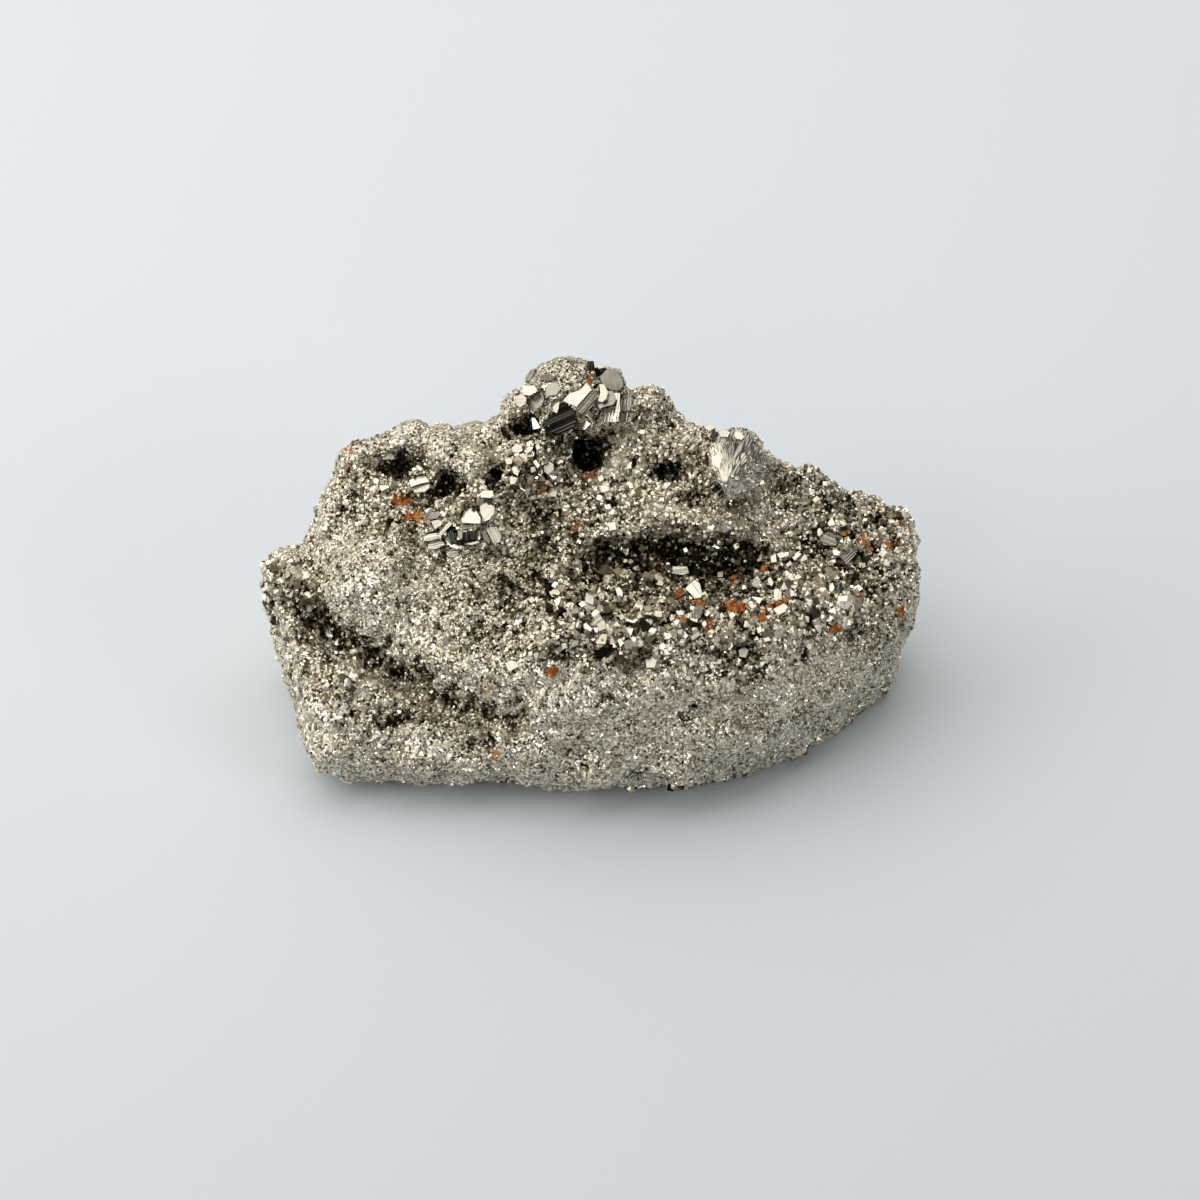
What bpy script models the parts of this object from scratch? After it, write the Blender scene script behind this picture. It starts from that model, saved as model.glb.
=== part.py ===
"""A pyrite specimen: one intergrown lump of granular pyrite, 102 mm wide, with crystals on its top.

The lump is a loft along X through fifteen upright sections. Knobs grow out of it, pits and a hollow are
pressed into it, and the larger crystals are fused to it, each with its flat faces. Its underside is cut flat.
Metres, +Z up. The viewer is at -Y. The origin is under the middle of the lump, on the surface it rests on.
"""

import math

import bmesh
import bpy
import numpy as np
from mathutils import Euler, Matrix, Vector, noise
from mathutils.bvhtree import BVHTree

MM = 0.001
SEED = 7

# Where a viewer stands. Features are laid out as seen from there, in pixels of a view 1200 wide, and dropped
# onto the lump along the line of sight.
VIEW_TILT = math.radians(42.0)
VIEW_DISTANCE = 935.0 * MM
VIEW_TARGET = Vector((1.4, 0.0, 21.4)) * MM
PX_PER_MM = 6.375
CENTRE_PX = 600.0
MOST_INWARD = 0.2
INWARD_STEPS = 21

# The loft's sections: for each x, the (y, z) of ten rails that run from the left end to the right end. They
# are the base's back and front, toe, ledge, gully, crest, plateau, ridge, the back's top and the back's foot.
SECTIONS_MM = {
    -50.6: (
        (9, 13), (5, 13), (3, 15), (1, 19), (2, 22),
        (4, 23), (6, 24), (8, 23), (10, 20), (10, 17),
    ),
    -48.0: (
        (10, 2), (3, 3), (-4, 9), (-5, 18), (-1, 21.5),
        (2, 23), (6, 24.5), (11, 22.5), (15, 18), (14, 10),
    ),
    -45.0: (
        (14, 0), (-8, 0), (-17, 7), (-13, 16), (-4, 18.5),
        (0, 22), (6, 25.5), (12, 23), (17, 18), (17, 9),
    ),
    -41.5: (
        (18, -1), (-13, -1), (-22.5, 7), (-17, 15.5), (-1.5, 17.5),
        (1.5, 24), (9, 31), (16, 32.5), (22, 26), (21, 12),
    ),
    -35.0: (
        (21, -1), (-16, -1), (-23, 6.6), (-18, 15), (-8, 16.5),
        (-6, 23.5), (8, 33), (19.5, 36.5), (26, 30), (26, 13),
    ),
    -25.0: (
        (22, -1), (-17, -1), (-23.9, 6.0), (-21, 13.5), (-15.5, 15),
        (-13.5, 22.5), (4, 32.5), (20.5, 37.5), (27, 32), (28, 14),
    ),
    -15.0: (
        (23, -1), (-17, -1), (-24.3, 6.7), (-23.5, 12.5), (-20, 16),
        (-17.5, 23), (2, 32.5), (20.5, 39), (28, 33), (29, 15),
    ),
    -5.0: (
        (23, -1), (-18, -1), (-24.9, 5.6), (-24.8, 13.5), (-22.5, 21),
        (-19, 28), (1, 33), (20.5, 39.5), (28, 34), (29, 15),
    ),
    7.0: (
        (23, -1), (-18, -1), (-24.7, 5.6), (-24.7, 13), (-22.8, 20.5),
        (-19.3, 27.5), (1, 32.5), (21.5, 40), (28, 34), (29, 15),
    ),
    17.0: (
        (22, -1), (-17, -1), (-23.8, 5.5), (-24, 12.5), (-22.2, 19.5),
        (-18.7, 26), (1, 32.5), (20.5, 38.5), (27, 33), (28, 14),
    ),
    27.0: (
        (20, -1), (-14, -1), (-19.3, 6.3), (-20.2, 12), (-18.5, 18.5),
        (-15, 24.8), (2, 31), (19, 35), (25, 30), (26, 13),
    ),
    36.0: (
        (18, -1), (-9, -1), (-13.6, 6.0), (-14.2, 12), (-12.2, 18.5),
        (-8, 24.3), (5, 29.5), (16.5, 32), (22, 27), (22, 12),
    ),
    43.0: (
        (15, 0), (-3, 0), (-6.8, 7.6), (-8, 12), (-6, 17.5),
        (-2, 23.5), (7, 28.5), (15.5, 29.5), (19, 24), (19, 11),
    ),
    48.0: (
        (12, 3), (1, 4), (-0.8, 9), (-2.5, 14), (-1.5, 19),
        (1, 24), (7, 28.5), (13, 29.2), (16, 23), (15, 12),
    ),
    50.8: (
        (10, 12), (4, 12), (2, 15), (0.5, 18), (0.5, 21),
        (2, 25), (6, 28.5), (11, 29), (12.5, 24), (12, 17),
    ),
}
SECTION_STEP_MM = 1.0
LOOP_POINTS = 160
CURVE_STEP_MM = 0.2
LEAST_GAP_MM = 1e-9
CAP_RINGS = 6
CAP_BULGE_MM = 0.7
REMESH_MM = 0.8
MASS_TRIANGLES = 7700
FLOOR_BLOCK_MM = (200.0, 200.0, 20.0)

# Rounded knobs: (name, seen at px, radius in mm, share of its width that stands out, stretch across, up and
# towards the viewer)
KNOBS = (
    ("ball_dome", (570, 406), 7.8, 0.70, (1.0, 1.0, 1.0)),
    ("ball_left", (546, 391), 4.1, 1.10, (1.0, 1.0, 1.0)),
    ("ball_shoulder", (602, 397), 4.7, 0.75, (1.0, 1.0, 1.0)),
    ("small_ball", (515, 404), 2.3, 0.60, (1.0, 1.0, 1.0)),
    ("behind_ball", (650, 413), 3.9, 0.45, (1.1, 1.0, 1.0)),
    ("right_knob", (738, 464), 4.6, 0.40, (1.0, 1.2, 1.0)),
    ("ridge_right_a", (764, 470), 2.8, 0.30, (1.0, 0.9, 1.0)),
    ("ridge_right_b", (803, 481), 2.8, 0.45, (1.0, 0.9, 1.0)),
    ("ridge_right_c", (828, 494), 2.6, 0.40, (1.0, 0.9, 1.0)),
    ("ridge_right_d", (862, 510), 2.6, 0.25, (1.2, 0.8, 1.0)),
    ("ridge_right_e", (700, 437), 2.4, 0.35, (1.3, 0.8, 1.0)),
    ("far_left_knob", (357, 459), 3.4, 0.35, (1.1, 0.9, 1.0)),
    ("left_knob", (418, 443), 4.0, 0.55, (1.0, 0.9, 1.0)),
    ("left_knob_low", (390, 452), 3.0, 0.35, (1.0, 0.9, 1.0)),
    ("tooth_top", (449, 453), 3.8, 0.60, (0.9, 1.1, 1.0)),
    ("tooth_foot", (466, 476), 3.2, 0.60, (0.9, 1.3, 1.0)),
    ("middle_knob", (500, 436), 3.8, 0.35, (1.2, 0.9, 1.0)),
    ("cluster_knob", (530, 460), 4.6, 0.50, (1.1, 0.9, 1.0)),
    ("rosette_mound", (464, 524), 6.4, 0.22, (1.0, 0.85, 1.0)),
    ("rosette_crown", (486, 508), 3.4, 0.35, (1.0, 1.2, 1.0)),
    ("ledge_end", (281, 574), 3.0, 0.35, (1.0, 1.0, 1.0)),
    ("ledge_block", (300, 588), 3.4, 0.30, (1.0, 1.0, 1.0)),
    ("toe_left", (330, 752), 3.0, 0.30, (1.2, 0.8, 1.0)),
    ("toe_lump_a", (418, 764), 3.0, 0.35, (1.4, 0.8, 1.0)),
    ("toe_lump_b", (596, 770), 2.8, 0.35, (1.3, 0.8, 1.0)),
    ("toe_lump_c", (678, 769), 2.8, 0.35, (1.5, 0.8, 1.0)),
    ("face_fold_a", (600, 700), 5.0, 0.14, (2.0, 0.8, 1.0)),
    ("face_fold_b", (700, 735), 5.0, 0.12, (2.2, 0.8, 1.0)),
    ("brow", (690, 522), 5.0, 0.20, (2.4, 0.6, 1.0)),
    ("shoulder_swell", (385, 590), 9.0, 0.14, (1.1, 1.2, 1.0)),
    ("ledge_lump", (345, 690), 5.0, 0.20, (1.4, 0.8, 1.0)),
)
KNOB_ROUGHNESS = 0.09

# Unevenness of the skin: (length, height) in mm
SWELLS_MM = ((9.0, 0.7), (4.5, 0.5))
LUMPS_MM = ((6.5, 1.5), (3.6, 1.1))
LUMP_MIDDLE = 0.25

# Pits and hollows: (name, seen at px, half width mm, half height mm, depth mm)
PITS = (
    ("under_ball", (588, 455), 3.3, 3.6, 8.0),
    ("beside_ball", (526, 428), 3.0, 2.0, 3.0),
    ("small_hole_right", (667, 473), 2.4, 1.6, 4.0),
    ("left_hole", (401, 468), 3.6, 2.4, 5.5),
    ("hole_by_tooth", (498, 472), 2.0, 1.8, 4.0),
    ("hollow_under_tooth", (448, 487), 4.4, 2.2, 3.5),
    ("below_right_knob", (712, 500), 3.4, 1.6, 2.2),
    ("right_gap", (776, 490), 1.8, 4.0, 2.0),
    ("front_hollow", (690, 565), 14.5, 5.2, 5.5),
    ("front_hollow_left", (602, 560), 5.0, 3.4, 2.6),
    ("front_hollow_right", (835, 560), 6.0, 5.0, 2.0),
    ("plateau_pit", (548, 514), 2.4, 3.0, 2.0),
    ("face_pit_a", (553, 650), 2.2, 1.5, 1.6),
    ("face_pit_b", (633, 663), 3.0, 2.2, 1.8),
    ("face_pit_c", (738, 655), 4.4, 2.4, 2.2),
    ("face_pit_d", (572, 748), 3.6, 1.2, 1.4),
    ("ledge_pit", (398, 718), 2.6, 1.7, 2.0),
    ("ledge_crease", (483, 745), 3.0, 1.6, 1.4),
    ("bulge_pit", (338, 578), 1.6, 1.6, 1.0),
)

# The gully between the upper mass and the ledge, as points seen at px, with its half width and depth
GULLY_PX = ((290, 598), (325, 612), (348, 640), (385, 668), (425, 697), (475, 715), (520, 724))
PIT_REACH = 1.25
TURNED_AWAY = 0.2
GULLY_HALF_WIDTH_MM = 2.2
GULLY_DEPTH_MM = 2.2

# Larger crystals: (name, kind, seen at px, size mm, turned by degrees, share that stands out)
CRYSTALS = (
    ("ball_dark_face", "prism", (561, 418), (6.0, 4.6, 3.6), (36, 8, 28), 0.58),
    ("ball_bright_face", "prism", (581, 394), (6.0, 3.8, 3.6), (60, -6, 36), 0.55),
    ("ball_grey_face", "prism", (592, 405), (5.2, 3.0, 3.4), (48, -6, 40), 0.55),
    ("ball_left_face", "cube", (531, 396), (4.2, 4.2, 5.2), (10, 20, -30), 0.50),
    ("ball_step_a", "cube", (610, 414), (4.2, 3.4, 3.0), (40, 4, 4), 0.60),
    ("ball_step_b", "cube", (624, 403), (3.6, 3.2, 4.8), (44, -4, 8), 0.55),
    ("ball_step_c", "cube", (611, 396), (3.0, 3.0, 3.2), (30, 18, 20), 0.60),
    ("ball_step_d", "pyritohedron", (612, 384), (3.8, 3.8, 3.8), (20, 10, 50), 0.50),
    ("ball_knob", "pyritohedron", (590, 368), (2.6, 2.6, 2.6), (0, 30, 15), 0.55),
    ("ball_lower_knob", "pyritohedron", (549, 409), (3.0, 3.0, 3.0), (35, 12, 5), 0.60),
    ("ball_foot", "pyritohedron", (590, 428), (3.0, 3.0, 3.0), (15, 40, 22), 0.55),
    ("right_crystal", "pyritohedron", (736, 466), (8.8, 8.0, 11.4), (24, -10, 18), 0.60),
    ("right_crystal_foot", "cube", (716, 491), (2.7, 2.7, 3.4), (30, 30, 20), 0.60),
    ("right_crystal_top", "cube", (742, 440), (2.6, 3.2, 2.2), (20, 15, 35), 0.50),
    ("left_block", "cube", (424, 481), (4.0, 2.9, 3.0), (30, 5, -18), 0.60),
    ("cluster_white", "pyritohedron", (528, 483), (3.2, 3.2, 3.2), (42, 0, 10), 0.65),
    ("cluster_a", "cube", (519, 464), (2.9, 2.7, 2.9), (30, 20, 30), 0.60),
    ("cluster_b", "cube", (539, 466), (3.1, 2.8, 3.1), (50, 10, 60), 0.60),
    ("cluster_c", "pyritohedron", (554, 469), (3.2, 3.2, 3.2), (10, 25, 40), 0.60),
    ("cluster_d", "cube", (515, 450), (2.7, 2.7, 2.7), (35, 35, 10), 0.60),
    ("cluster_e", "pyritohedron", (534, 448), (2.9, 2.9, 2.9), (5, 35, 20), 0.60),
    ("cluster_f", "cube", (511, 479), (2.6, 2.6, 2.6), (20, 50, 30), 0.60),
    ("rosette_top", "pyritohedron", (486, 498), (3.4, 3.2, 3.4), (40, 0, 20), 0.60),
    ("rosette_bright", "pyritohedron", (470, 514), (4.6, 4.4, 3.4), (48, -4, 12), 0.60),
    ("rosette_round", "pyritohedron", (489, 515), (4.4, 4.0, 4.4), (30, 30, 60), 0.55),
    ("rosette_left", "cube", (436, 519), (3.2, 3.0, 3.2), (40, 14, -24), 0.60),
    ("rosette_bar", "prism", (434, 538), (4.2, 2.6, 3.2), (45, 0, -8), 0.60),
    ("rosette_cube_a", "cube", (452, 538), (3.6, 3.0, 3.2), (52, 12, -30), 0.60),
    ("rosette_cube_b", "cube", (471, 536), (3.6, 3.2, 3.0), (48, 0, 4), 0.65),
    ("rosette_cube_c", "prism", (494, 534), (3.4, 3.8, 3.2), (44, -8, 26), 0.60),
    ("rosette_foot", "pyritohedron", (456, 551), (4.2, 3.2, 3.0), (50, 0, -10), 0.50),
    ("lone_hollow", "cube", (692, 587), (2.7, 2.6, 2.5), (46, 20, 34), 0.70),
    ("lone_bar", "prism", (680, 571), (3.0, 1.5, 1.5), (44, 0, 0), 0.60),
    ("lone_wedge", "prism", (589, 623), (3.0, 2.2, 2.2), (50, 0, 38), 0.65),
    ("lone_upper", "prism", (601, 531), (2.4, 2.0, 1.8), (44, 4, 4), 0.60),
    ("lone_right", "cube", (765, 588), (1.9, 1.9, 1.9), (40, 30, 20), 0.60),
    ("lone_flat", "prism", (876, 513), (3.0, 2.0, 1.6), (44, 10, 20), 0.50),
    ("lone_far_right", "prism", (839, 552), (3.4, 2.0, 1.8), (40, 0, 40), 0.50),
    ("ledge_cube_a", "pyritohedron", (287, 579), (2.0, 2.0, 2.0), (20, 30, 10), 0.60),
    ("ledge_cube_b", "pyritohedron", (310, 594), (2.2, 2.2, 2.4), (40, 10, 50), 0.60),
    ("face_cube_a", "prism", (628, 655), (2.8, 1.8, 1.8), (60, 10, 30), 0.55),
    ("face_cube_b", "cube", (700, 642), (1.9, 1.9, 1.9), (35, 35, 20), 0.60),
)
# The forms are 1 across: flats cut along the edges, and where a pyritohedron's corners and roof edges are
CUBE_FLAT = 0.10
BAR_FLAT = 0.20
CORNER_AT = 0.36
ROOF_AT = 0.5


def sight_line(spot_px):
    """The eye's place and the direction in which it sees that pixel."""
    forward = Vector((0, math.cos(VIEW_TILT), -math.sin(VIEW_TILT)))
    upward = Vector((0, math.sin(VIEW_TILT), math.cos(VIEW_TILT)))
    eye = VIEW_TARGET - forward * VIEW_DISTANCE
    across = (spot_px[0] - CENTRE_PX) / PX_PER_MM * MM
    above = (CENTRE_PX - spot_px[1]) / PX_PER_MM * MM
    return eye, (VIEW_TARGET + Vector((across, 0, 0)) + upward * above - eye).normalized()


def surface_at(tree, spot_px):
    """The point of the surface seen at that pixel, its normal, and the line of sight.

    A spot just outside the outline takes the nearest surface on the way to the middle of the view, and is
    then moved back out to where it is seen.
    """
    for inward in np.linspace(0, MOST_INWARD, INWARD_STEPS):
        spot = [s + (CENTRE_PX - s) * inward for s in spot_px]
        eye, sight = sight_line(spot)
        point, normal, _, distance = tree.ray_cast(eye, sight)
        if point is not None:
            return point + (sight_line(spot_px)[1] - sight) * distance, normal, sight
    raise ValueError(f"nothing is seen at {spot_px}")


def curve_through(points, closed, step):
    """Points a step apart along a centripetal Catmull-Rom curve through the given ones."""
    count = len(points)
    made = []
    for i in range(count if closed else count - 1):
        if closed:
            a, b, c, d = (points[(i + k) % count] for k in (-1, 0, 1, 2))
        else:
            b, c = points[i], points[i + 1]
            a = points[i - 1] if i > 0 else 2 * b - c
            d = points[i + 2] if i + 2 < count else 2 * c - b
        gaps = [np.linalg.norm(q - p) for p, q in ((a, b), (b, c), (c, d))]
        knots = np.cumsum([0.0] + [math.sqrt(max(gap, LEAST_GAP_MM)) for gap in gaps])
        steps = max(2, round(np.linalg.norm(c - b) / step))
        for t in np.linspace(knots[1], knots[2], steps, endpoint=False):
            made.append(catmull_rom((a, b, c, d), knots, t))
    return np.array(made)


def catmull_rom(four, knots, t):
    """The point at t on the curve between the second and third of four points."""

    def between(first, last, start, end):
        return (first * (end - t) + last * (t - start)) / (end - start)

    pairs = [between(four[i], four[i + 1], knots[i], knots[i + 1]) for i in range(3)]
    threes = [between(pairs[i], pairs[i + 1], knots[i], knots[i + 2]) for i in range(2)]
    return between(threes[0], threes[1], knots[1], knots[2])


def rail_values(x_mm):
    """Each rail's (y, z) at x, smooth between the sections."""
    xs = np.array(sorted(SECTIONS_MM))
    table = np.array([SECTIONS_MM[x] for x in xs], float)
    slopes = np.gradient(table, xs, axis=0)
    i = int(np.clip(np.searchsorted(xs, x_mm) - 1, 0, len(xs) - 2))
    width = xs[i + 1] - xs[i]
    t = (x_mm - xs[i]) / width
    start, end = table[i], table[i + 1]
    return (
        (2 * t**3 - 3 * t**2 + 1) * start
        + (t**3 - 2 * t**2 + t) * width * slopes[i]
        + (-2 * t**3 + 3 * t**2) * end
        + (t**3 - t**2) * width * slopes[i + 1]
    )


def loop_at(x_mm, count):
    """The section's outline at x as count points, evenly spaced along each stretch between two rails."""
    rails = rail_values(x_mm)
    fine = curve_through(rails, closed=True, step=CURVE_STEP_MM)
    ring = np.vstack([fine, fine[:1]])
    steps = np.linalg.norm(np.diff(ring, axis=0), axis=1)
    lengths = np.concatenate([[0], np.cumsum(steps)])
    wanted = np.linspace(0, lengths[-1], count, endpoint=False)
    y = np.interp(wanted, lengths, ring[:, 0])
    z = np.interp(wanted, lengths, ring[:, 1])
    return np.column_stack([np.full(count, x_mm), y, z])


def loft_mesh():
    """The lump's body as a closed mesh: rings along X, and a cap of shrinking rings on each end."""
    xs = sorted(SECTIONS_MM)
    stations = np.linspace(xs[0], xs[-1], round((xs[-1] - xs[0]) / SECTION_STEP_MM) + 1)
    rings = [loop_at(x, LOOP_POINTS) for x in stations]
    rings = cap_rings(rings[0], -1)[::-1] + rings + cap_rings(rings[-1], 1)
    bm = bmesh.new()
    rows = [[bm.verts.new(Vector(p) * MM) for p in ring] for ring in rings]
    for first, second in zip(rows, rows[1:]):
        for i in range(LOOP_POINTS):
            j = (i + 1) % LOOP_POINTS
            bm.faces.new((first[i], first[j], second[j], second[i]))
    bm.faces.new(rows[0])
    bm.faces.new(reversed(rows[-1]))
    bmesh.ops.recalc_face_normals(bm, faces=bm.faces)
    return bm


def cap_rings(ring, side):
    """Rings that close an end with a slight bulge."""
    centre = ring.mean(axis=0)
    made = []
    for k in range(1, CAP_RINGS):
        shrink = math.cos(k / CAP_RINGS * math.pi / 2)
        bulge = math.sin(k / CAP_RINGS * math.pi / 2) * CAP_BULGE_MM * side
        made.append(centre + (ring - centre) * shrink + np.array([bulge, 0, 0]))
    return made


def object_of(name, bm, collection):
    """A new object with that mesh, in that collection."""
    mesh = bpy.data.meshes.new(name)
    bm.to_mesh(mesh)
    bm.free()
    obj = bpy.data.objects.new(name, mesh)
    collection.objects.link(obj)
    return obj


def tree_of(obj):
    """A search tree of the object's evaluated mesh."""
    return BVHTree.FromObject(obj, bpy.context.evaluated_depsgraph_get())


def bake(obj):
    """Puts the object's modifiers into its mesh."""
    graph = bpy.context.evaluated_depsgraph_get()
    baked = bpy.data.meshes.new_from_object(obj.evaluated_get(graph))
    obj.modifiers.clear()
    obj.data = baked


def facing(sight):
    """The turn that sets local X across, local Y up and local Z towards the viewer."""
    towards = -sight
    across = Vector((0, 0, 1)).cross(towards).normalized()
    return Matrix((across, towards.cross(across), towards)).transposed()


def add_knob(bm, tree, spot_px, radius, stands_out, stretch):
    """A rough ball that grows out of the lump, its middle seen at that pixel."""
    point, normal, sight = surface_at(tree, spot_px)
    radius = radius * MM
    centre = point + sight * radius * (1 - 2 * stands_out)
    made = bmesh.ops.create_icosphere(bm, subdivisions=4, radius=1.0)["verts"]
    turn = facing(sight)
    for v in made:
        rough = 1 + KNOB_ROUGHNESS * noise.noise(v.co * 2.3 + centre * 400)
        shape = Vector(c * s for c, s in zip(v.co, stretch)) * radius * rough
        v.co = centre + turn @ shape


def fused_lump(collection):
    """The body with its knobs, fused in one closed skin."""
    body = object_of("body", loft_mesh(), collection)
    tree = tree_of(body)
    bm = bmesh.new()
    bm.from_mesh(body.data)
    for _, spot_px, radius, stands_out, stretch in KNOBS:
        add_knob(bm, tree, spot_px, radius, stands_out, stretch)
    bm.to_mesh(body.data)
    bm.free()
    skin = body.modifiers.new("skin", "REMESH")
    skin.mode = "VOXEL"
    skin.voxel_size = REMESH_MM * MM
    bake(body)
    return body


def read_points(mesh):
    points = np.empty(len(mesh.vertices) * 3, np.float32)
    mesh.vertices.foreach_get("co", points)
    return points.reshape(-1, 3).astype(float)


def read_normals(mesh):
    normals = np.empty(len(mesh.vertices) * 3, np.float32)
    mesh.vertex_normals.foreach_get("vector", normals)
    return normals.reshape(-1, 3).astype(float)


def write_points(mesh, points):
    mesh.vertices.foreach_set("co", points.astype(np.float32).ravel())
    mesh.update()


def roughen(obj):
    """Uneven swells, then blocky lumps with creases between them, pushed out and in along the normals."""
    points, normals = read_points(obj.data), read_normals(obj.data)
    push = np.zeros(len(points))
    for i, point in enumerate(points):
        for length, height in SWELLS_MM:
            push[i] += height * noise.noise(Vector(point) / (length * MM) + Vector((SEED, length, 3.1)))
        for length, height in LUMPS_MM:
            near, second = noise.voronoi(Vector(point) / (length * MM) + Vector((length, SEED, 0)))[0][:2]
            push[i] += height * (min(second - near, 2 * LUMP_MIDDLE) - LUMP_MIDDLE)
    write_points(obj.data, points + normals * (push * MM)[:, None])


def fading(far):
    """1 in the middle of a pit and 0 outside it, with a smooth slope between."""
    share = np.clip(PIT_REACH - far, 0, 1)
    return share * share * (3 - 2 * share)


def press_pits(obj):
    """Pushes each pit, and the gully, into the lump along the line of sight."""
    tree = tree_of(obj)
    points, normals = read_points(obj.data), read_normals(obj.data)
    moved = points.copy()
    for _, spot_px, half_width, half_height, depth in PITS:
        point, _, sight = surface_at(tree, spot_px)
        turn = np.array(facing(sight))
        local = (points - np.array(point)) @ turn
        far = np.sqrt((local[:, 0] / (half_width * MM)) ** 2 + (local[:, 1] / (half_height * MM)) ** 2)
        reach = np.abs(local[:, 2]) < (depth + half_width) * MM
        faces_viewer = normals @ np.array(sight) < TURNED_AWAY
        share = np.where(reach & faces_viewer, fading(far), 0)
        moved += np.outer(share * depth * MM, np.array(sight))
    path = [surface_at(tree, spot) for spot in GULLY_PX]
    line = curve_through(np.array([list(p) for p, _, _ in path]), closed=False, step=MM)
    nearest = np.full(len(points), np.inf)
    for p in line:
        nearest = np.minimum(nearest, np.linalg.norm(points - p, axis=1))
    share = fading(nearest / (GULLY_HALF_WIDTH_MM * MM))
    moved -= normals * (share * GULLY_DEPTH_MM * MM)[:, None]
    write_points(obj.data, moved)


def thin_out(obj, triangles):
    """Fewer and larger facets, as broken granular pyrite shows them."""
    obj.data.calc_loop_triangles()
    fewer = obj.modifiers.new("facets", "DECIMATE")
    fewer.ratio = triangles / len(obj.data.loop_triangles)
    fewer.use_collapse_triangulate = True
    bake(obj)


def cube_crystal(bm):
    """A cube of side 1 with narrow flats along its edges."""
    made = bmesh.ops.create_cube(bm, size=1.0)["verts"]
    edges = list({e for v in made for e in v.link_edges})
    bmesh.ops.bevel(bm, geom=edges, offset=CUBE_FLAT, segments=1, affect="EDGES")


def prism_crystal(bm):
    """A short bar with its long edges cut off and its ends flat."""
    made = bmesh.ops.create_cube(bm, size=1.0)["verts"]
    edges = {e for v in made for e in v.link_edges}
    edges = [e for e in edges if abs((e.verts[0].co - e.verts[1].co).x) > 0.5]
    bmesh.ops.bevel(bm, geom=edges, offset=BAR_FLAT, segments=1, affect="EDGES")


def pyritohedron_crystal(bm):
    """Pyrite's own form: twelve five-sided faces, 1 across."""
    sides = (-CORNER_AT, CORNER_AT)
    corners = [(x, y, z) for x in sides for y in sides for z in sides]
    for a in (-1, 1):
        for b in (-1, 1):
            along, out = a * CORNER_AT / 2, b * ROOF_AT
            corners += [(0, along, out), (along, out, 0), (out, 0, along)]
    verts = [bm.verts.new(c) for c in corners]
    bmesh.ops.convex_hull(bm, input=verts)
    bmesh.ops.dissolve_limit(bm, angle_limit=math.radians(1), verts=bm.verts, edges=bm.edges)


CRYSTAL_FORMS = {"cube": cube_crystal, "prism": prism_crystal, "pyritohedron": pyritohedron_crystal}


def crystal(tree, entry, collection):
    """One of the larger crystals, sunk into the lump where it is seen."""
    name, kind, spot_px, size, turned, stands_out = entry
    point, _, sight = surface_at(tree, spot_px)
    bm = bmesh.new()
    CRYSTAL_FORMS[kind](bm)
    turn = facing(sight) @ Euler([math.radians(t) for t in turned], "XYZ").to_matrix()
    centre = point - sight * min(size) * MM * (stands_out - 0.5)
    scale = Matrix.Diagonal(Vector(size) * MM)
    bm.transform((turn @ scale).to_4x4())
    bmesh.ops.translate(bm, verts=bm.verts, vec=centre)
    bmesh.ops.recalc_face_normals(bm, faces=bm.faces)
    obj = object_of(name, bm, collection)
    obj.hide_render = True
    obj.display_type = "WIRE"
    return obj


def fuse(obj, others):
    """Joins all the other objects to this one."""
    union = obj.modifiers.new("fused", "BOOLEAN")
    union.operation = "UNION"
    union.solver = "EXACT"
    union.operand_type = "COLLECTION"
    union.collection = others


def cut_flat(obj, cutters):
    """Cuts the underside off at z = 0, so that the lump stands on a flat face."""
    bm = bmesh.new()
    bmesh.ops.create_cube(bm, size=1.0)
    bmesh.ops.scale(bm, verts=bm.verts, vec=Vector(FLOOR_BLOCK_MM) * MM)
    bmesh.ops.translate(bm, verts=bm.verts, vec=Vector((0, 0, -FLOOR_BLOCK_MM[2] / 2)) * MM)
    floor = object_of("floor_cutter", bm, cutters)
    floor.hide_render = True
    floor.display_type = "WIRE"
    cut = obj.modifiers.new("flat underside", "BOOLEAN")
    cut.operation = "DIFFERENCE"
    cut.solver = "EXACT"
    cut.object = floor


def set_down(obj, helpers):
    """Moves the lump, and the solids it was made with, so that the middle of its box is over the origin."""
    points = read_points(obj.data)
    middle = (points.min(axis=0) + points.max(axis=0)) / 2
    middle[2] = points[:, 2].min()
    write_points(obj.data, points - middle)
    for helper in helpers:
        helper.location = Vector(-middle)


def pyrite_material():
    """Pale brassy grey metal."""
    material = bpy.data.materials.new("pyrite")
    material.use_nodes = True
    shader = material.node_tree.nodes["Principled BSDF"]
    shader.inputs["Base Color"].default_value = (0.56, 0.52, 0.44, 1)
    shader.inputs["Metallic"].default_value = 1.0
    shader.inputs["Roughness"].default_value = 0.35
    return material


def new_collection(name):
    made = bpy.data.collections.new(name)
    bpy.context.scene.collection.children.link(made)
    return made


def main():
    for obj in list(bpy.data.objects):
        bpy.data.objects.remove(obj)
    specimen = new_collection("pyrite_specimen")
    cutters = new_collection("cutters")
    grown = new_collection("crystals")

    mass = fused_lump(specimen)
    mass.name = "pyrite_mass"
    roughen(mass)
    press_pits(mass)
    thin_out(mass, MASS_TRIANGLES)
    tree = tree_of(mass)
    for entry in CRYSTALS:
        crystal(tree, entry, grown)
    fuse(mass, grown)
    cut_flat(mass, cutters)
    bake(mass)
    set_down(mass, list(grown.objects) + list(cutters.objects))
    mass.data.materials.clear()
    mass.data.materials.append(pyrite_material())


main()
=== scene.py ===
"""The looks of the pyrite specimen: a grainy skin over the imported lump, thousands of grains grown on it,
and the larger crystals with their flat and grooved faces. Metres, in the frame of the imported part.
"""

import math
from collections import namedtuple

import bmesh
import bpy
import numpy as np
from mathutils import Matrix, Vector, noise
from mathutils.bvhtree import BVHTree

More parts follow.
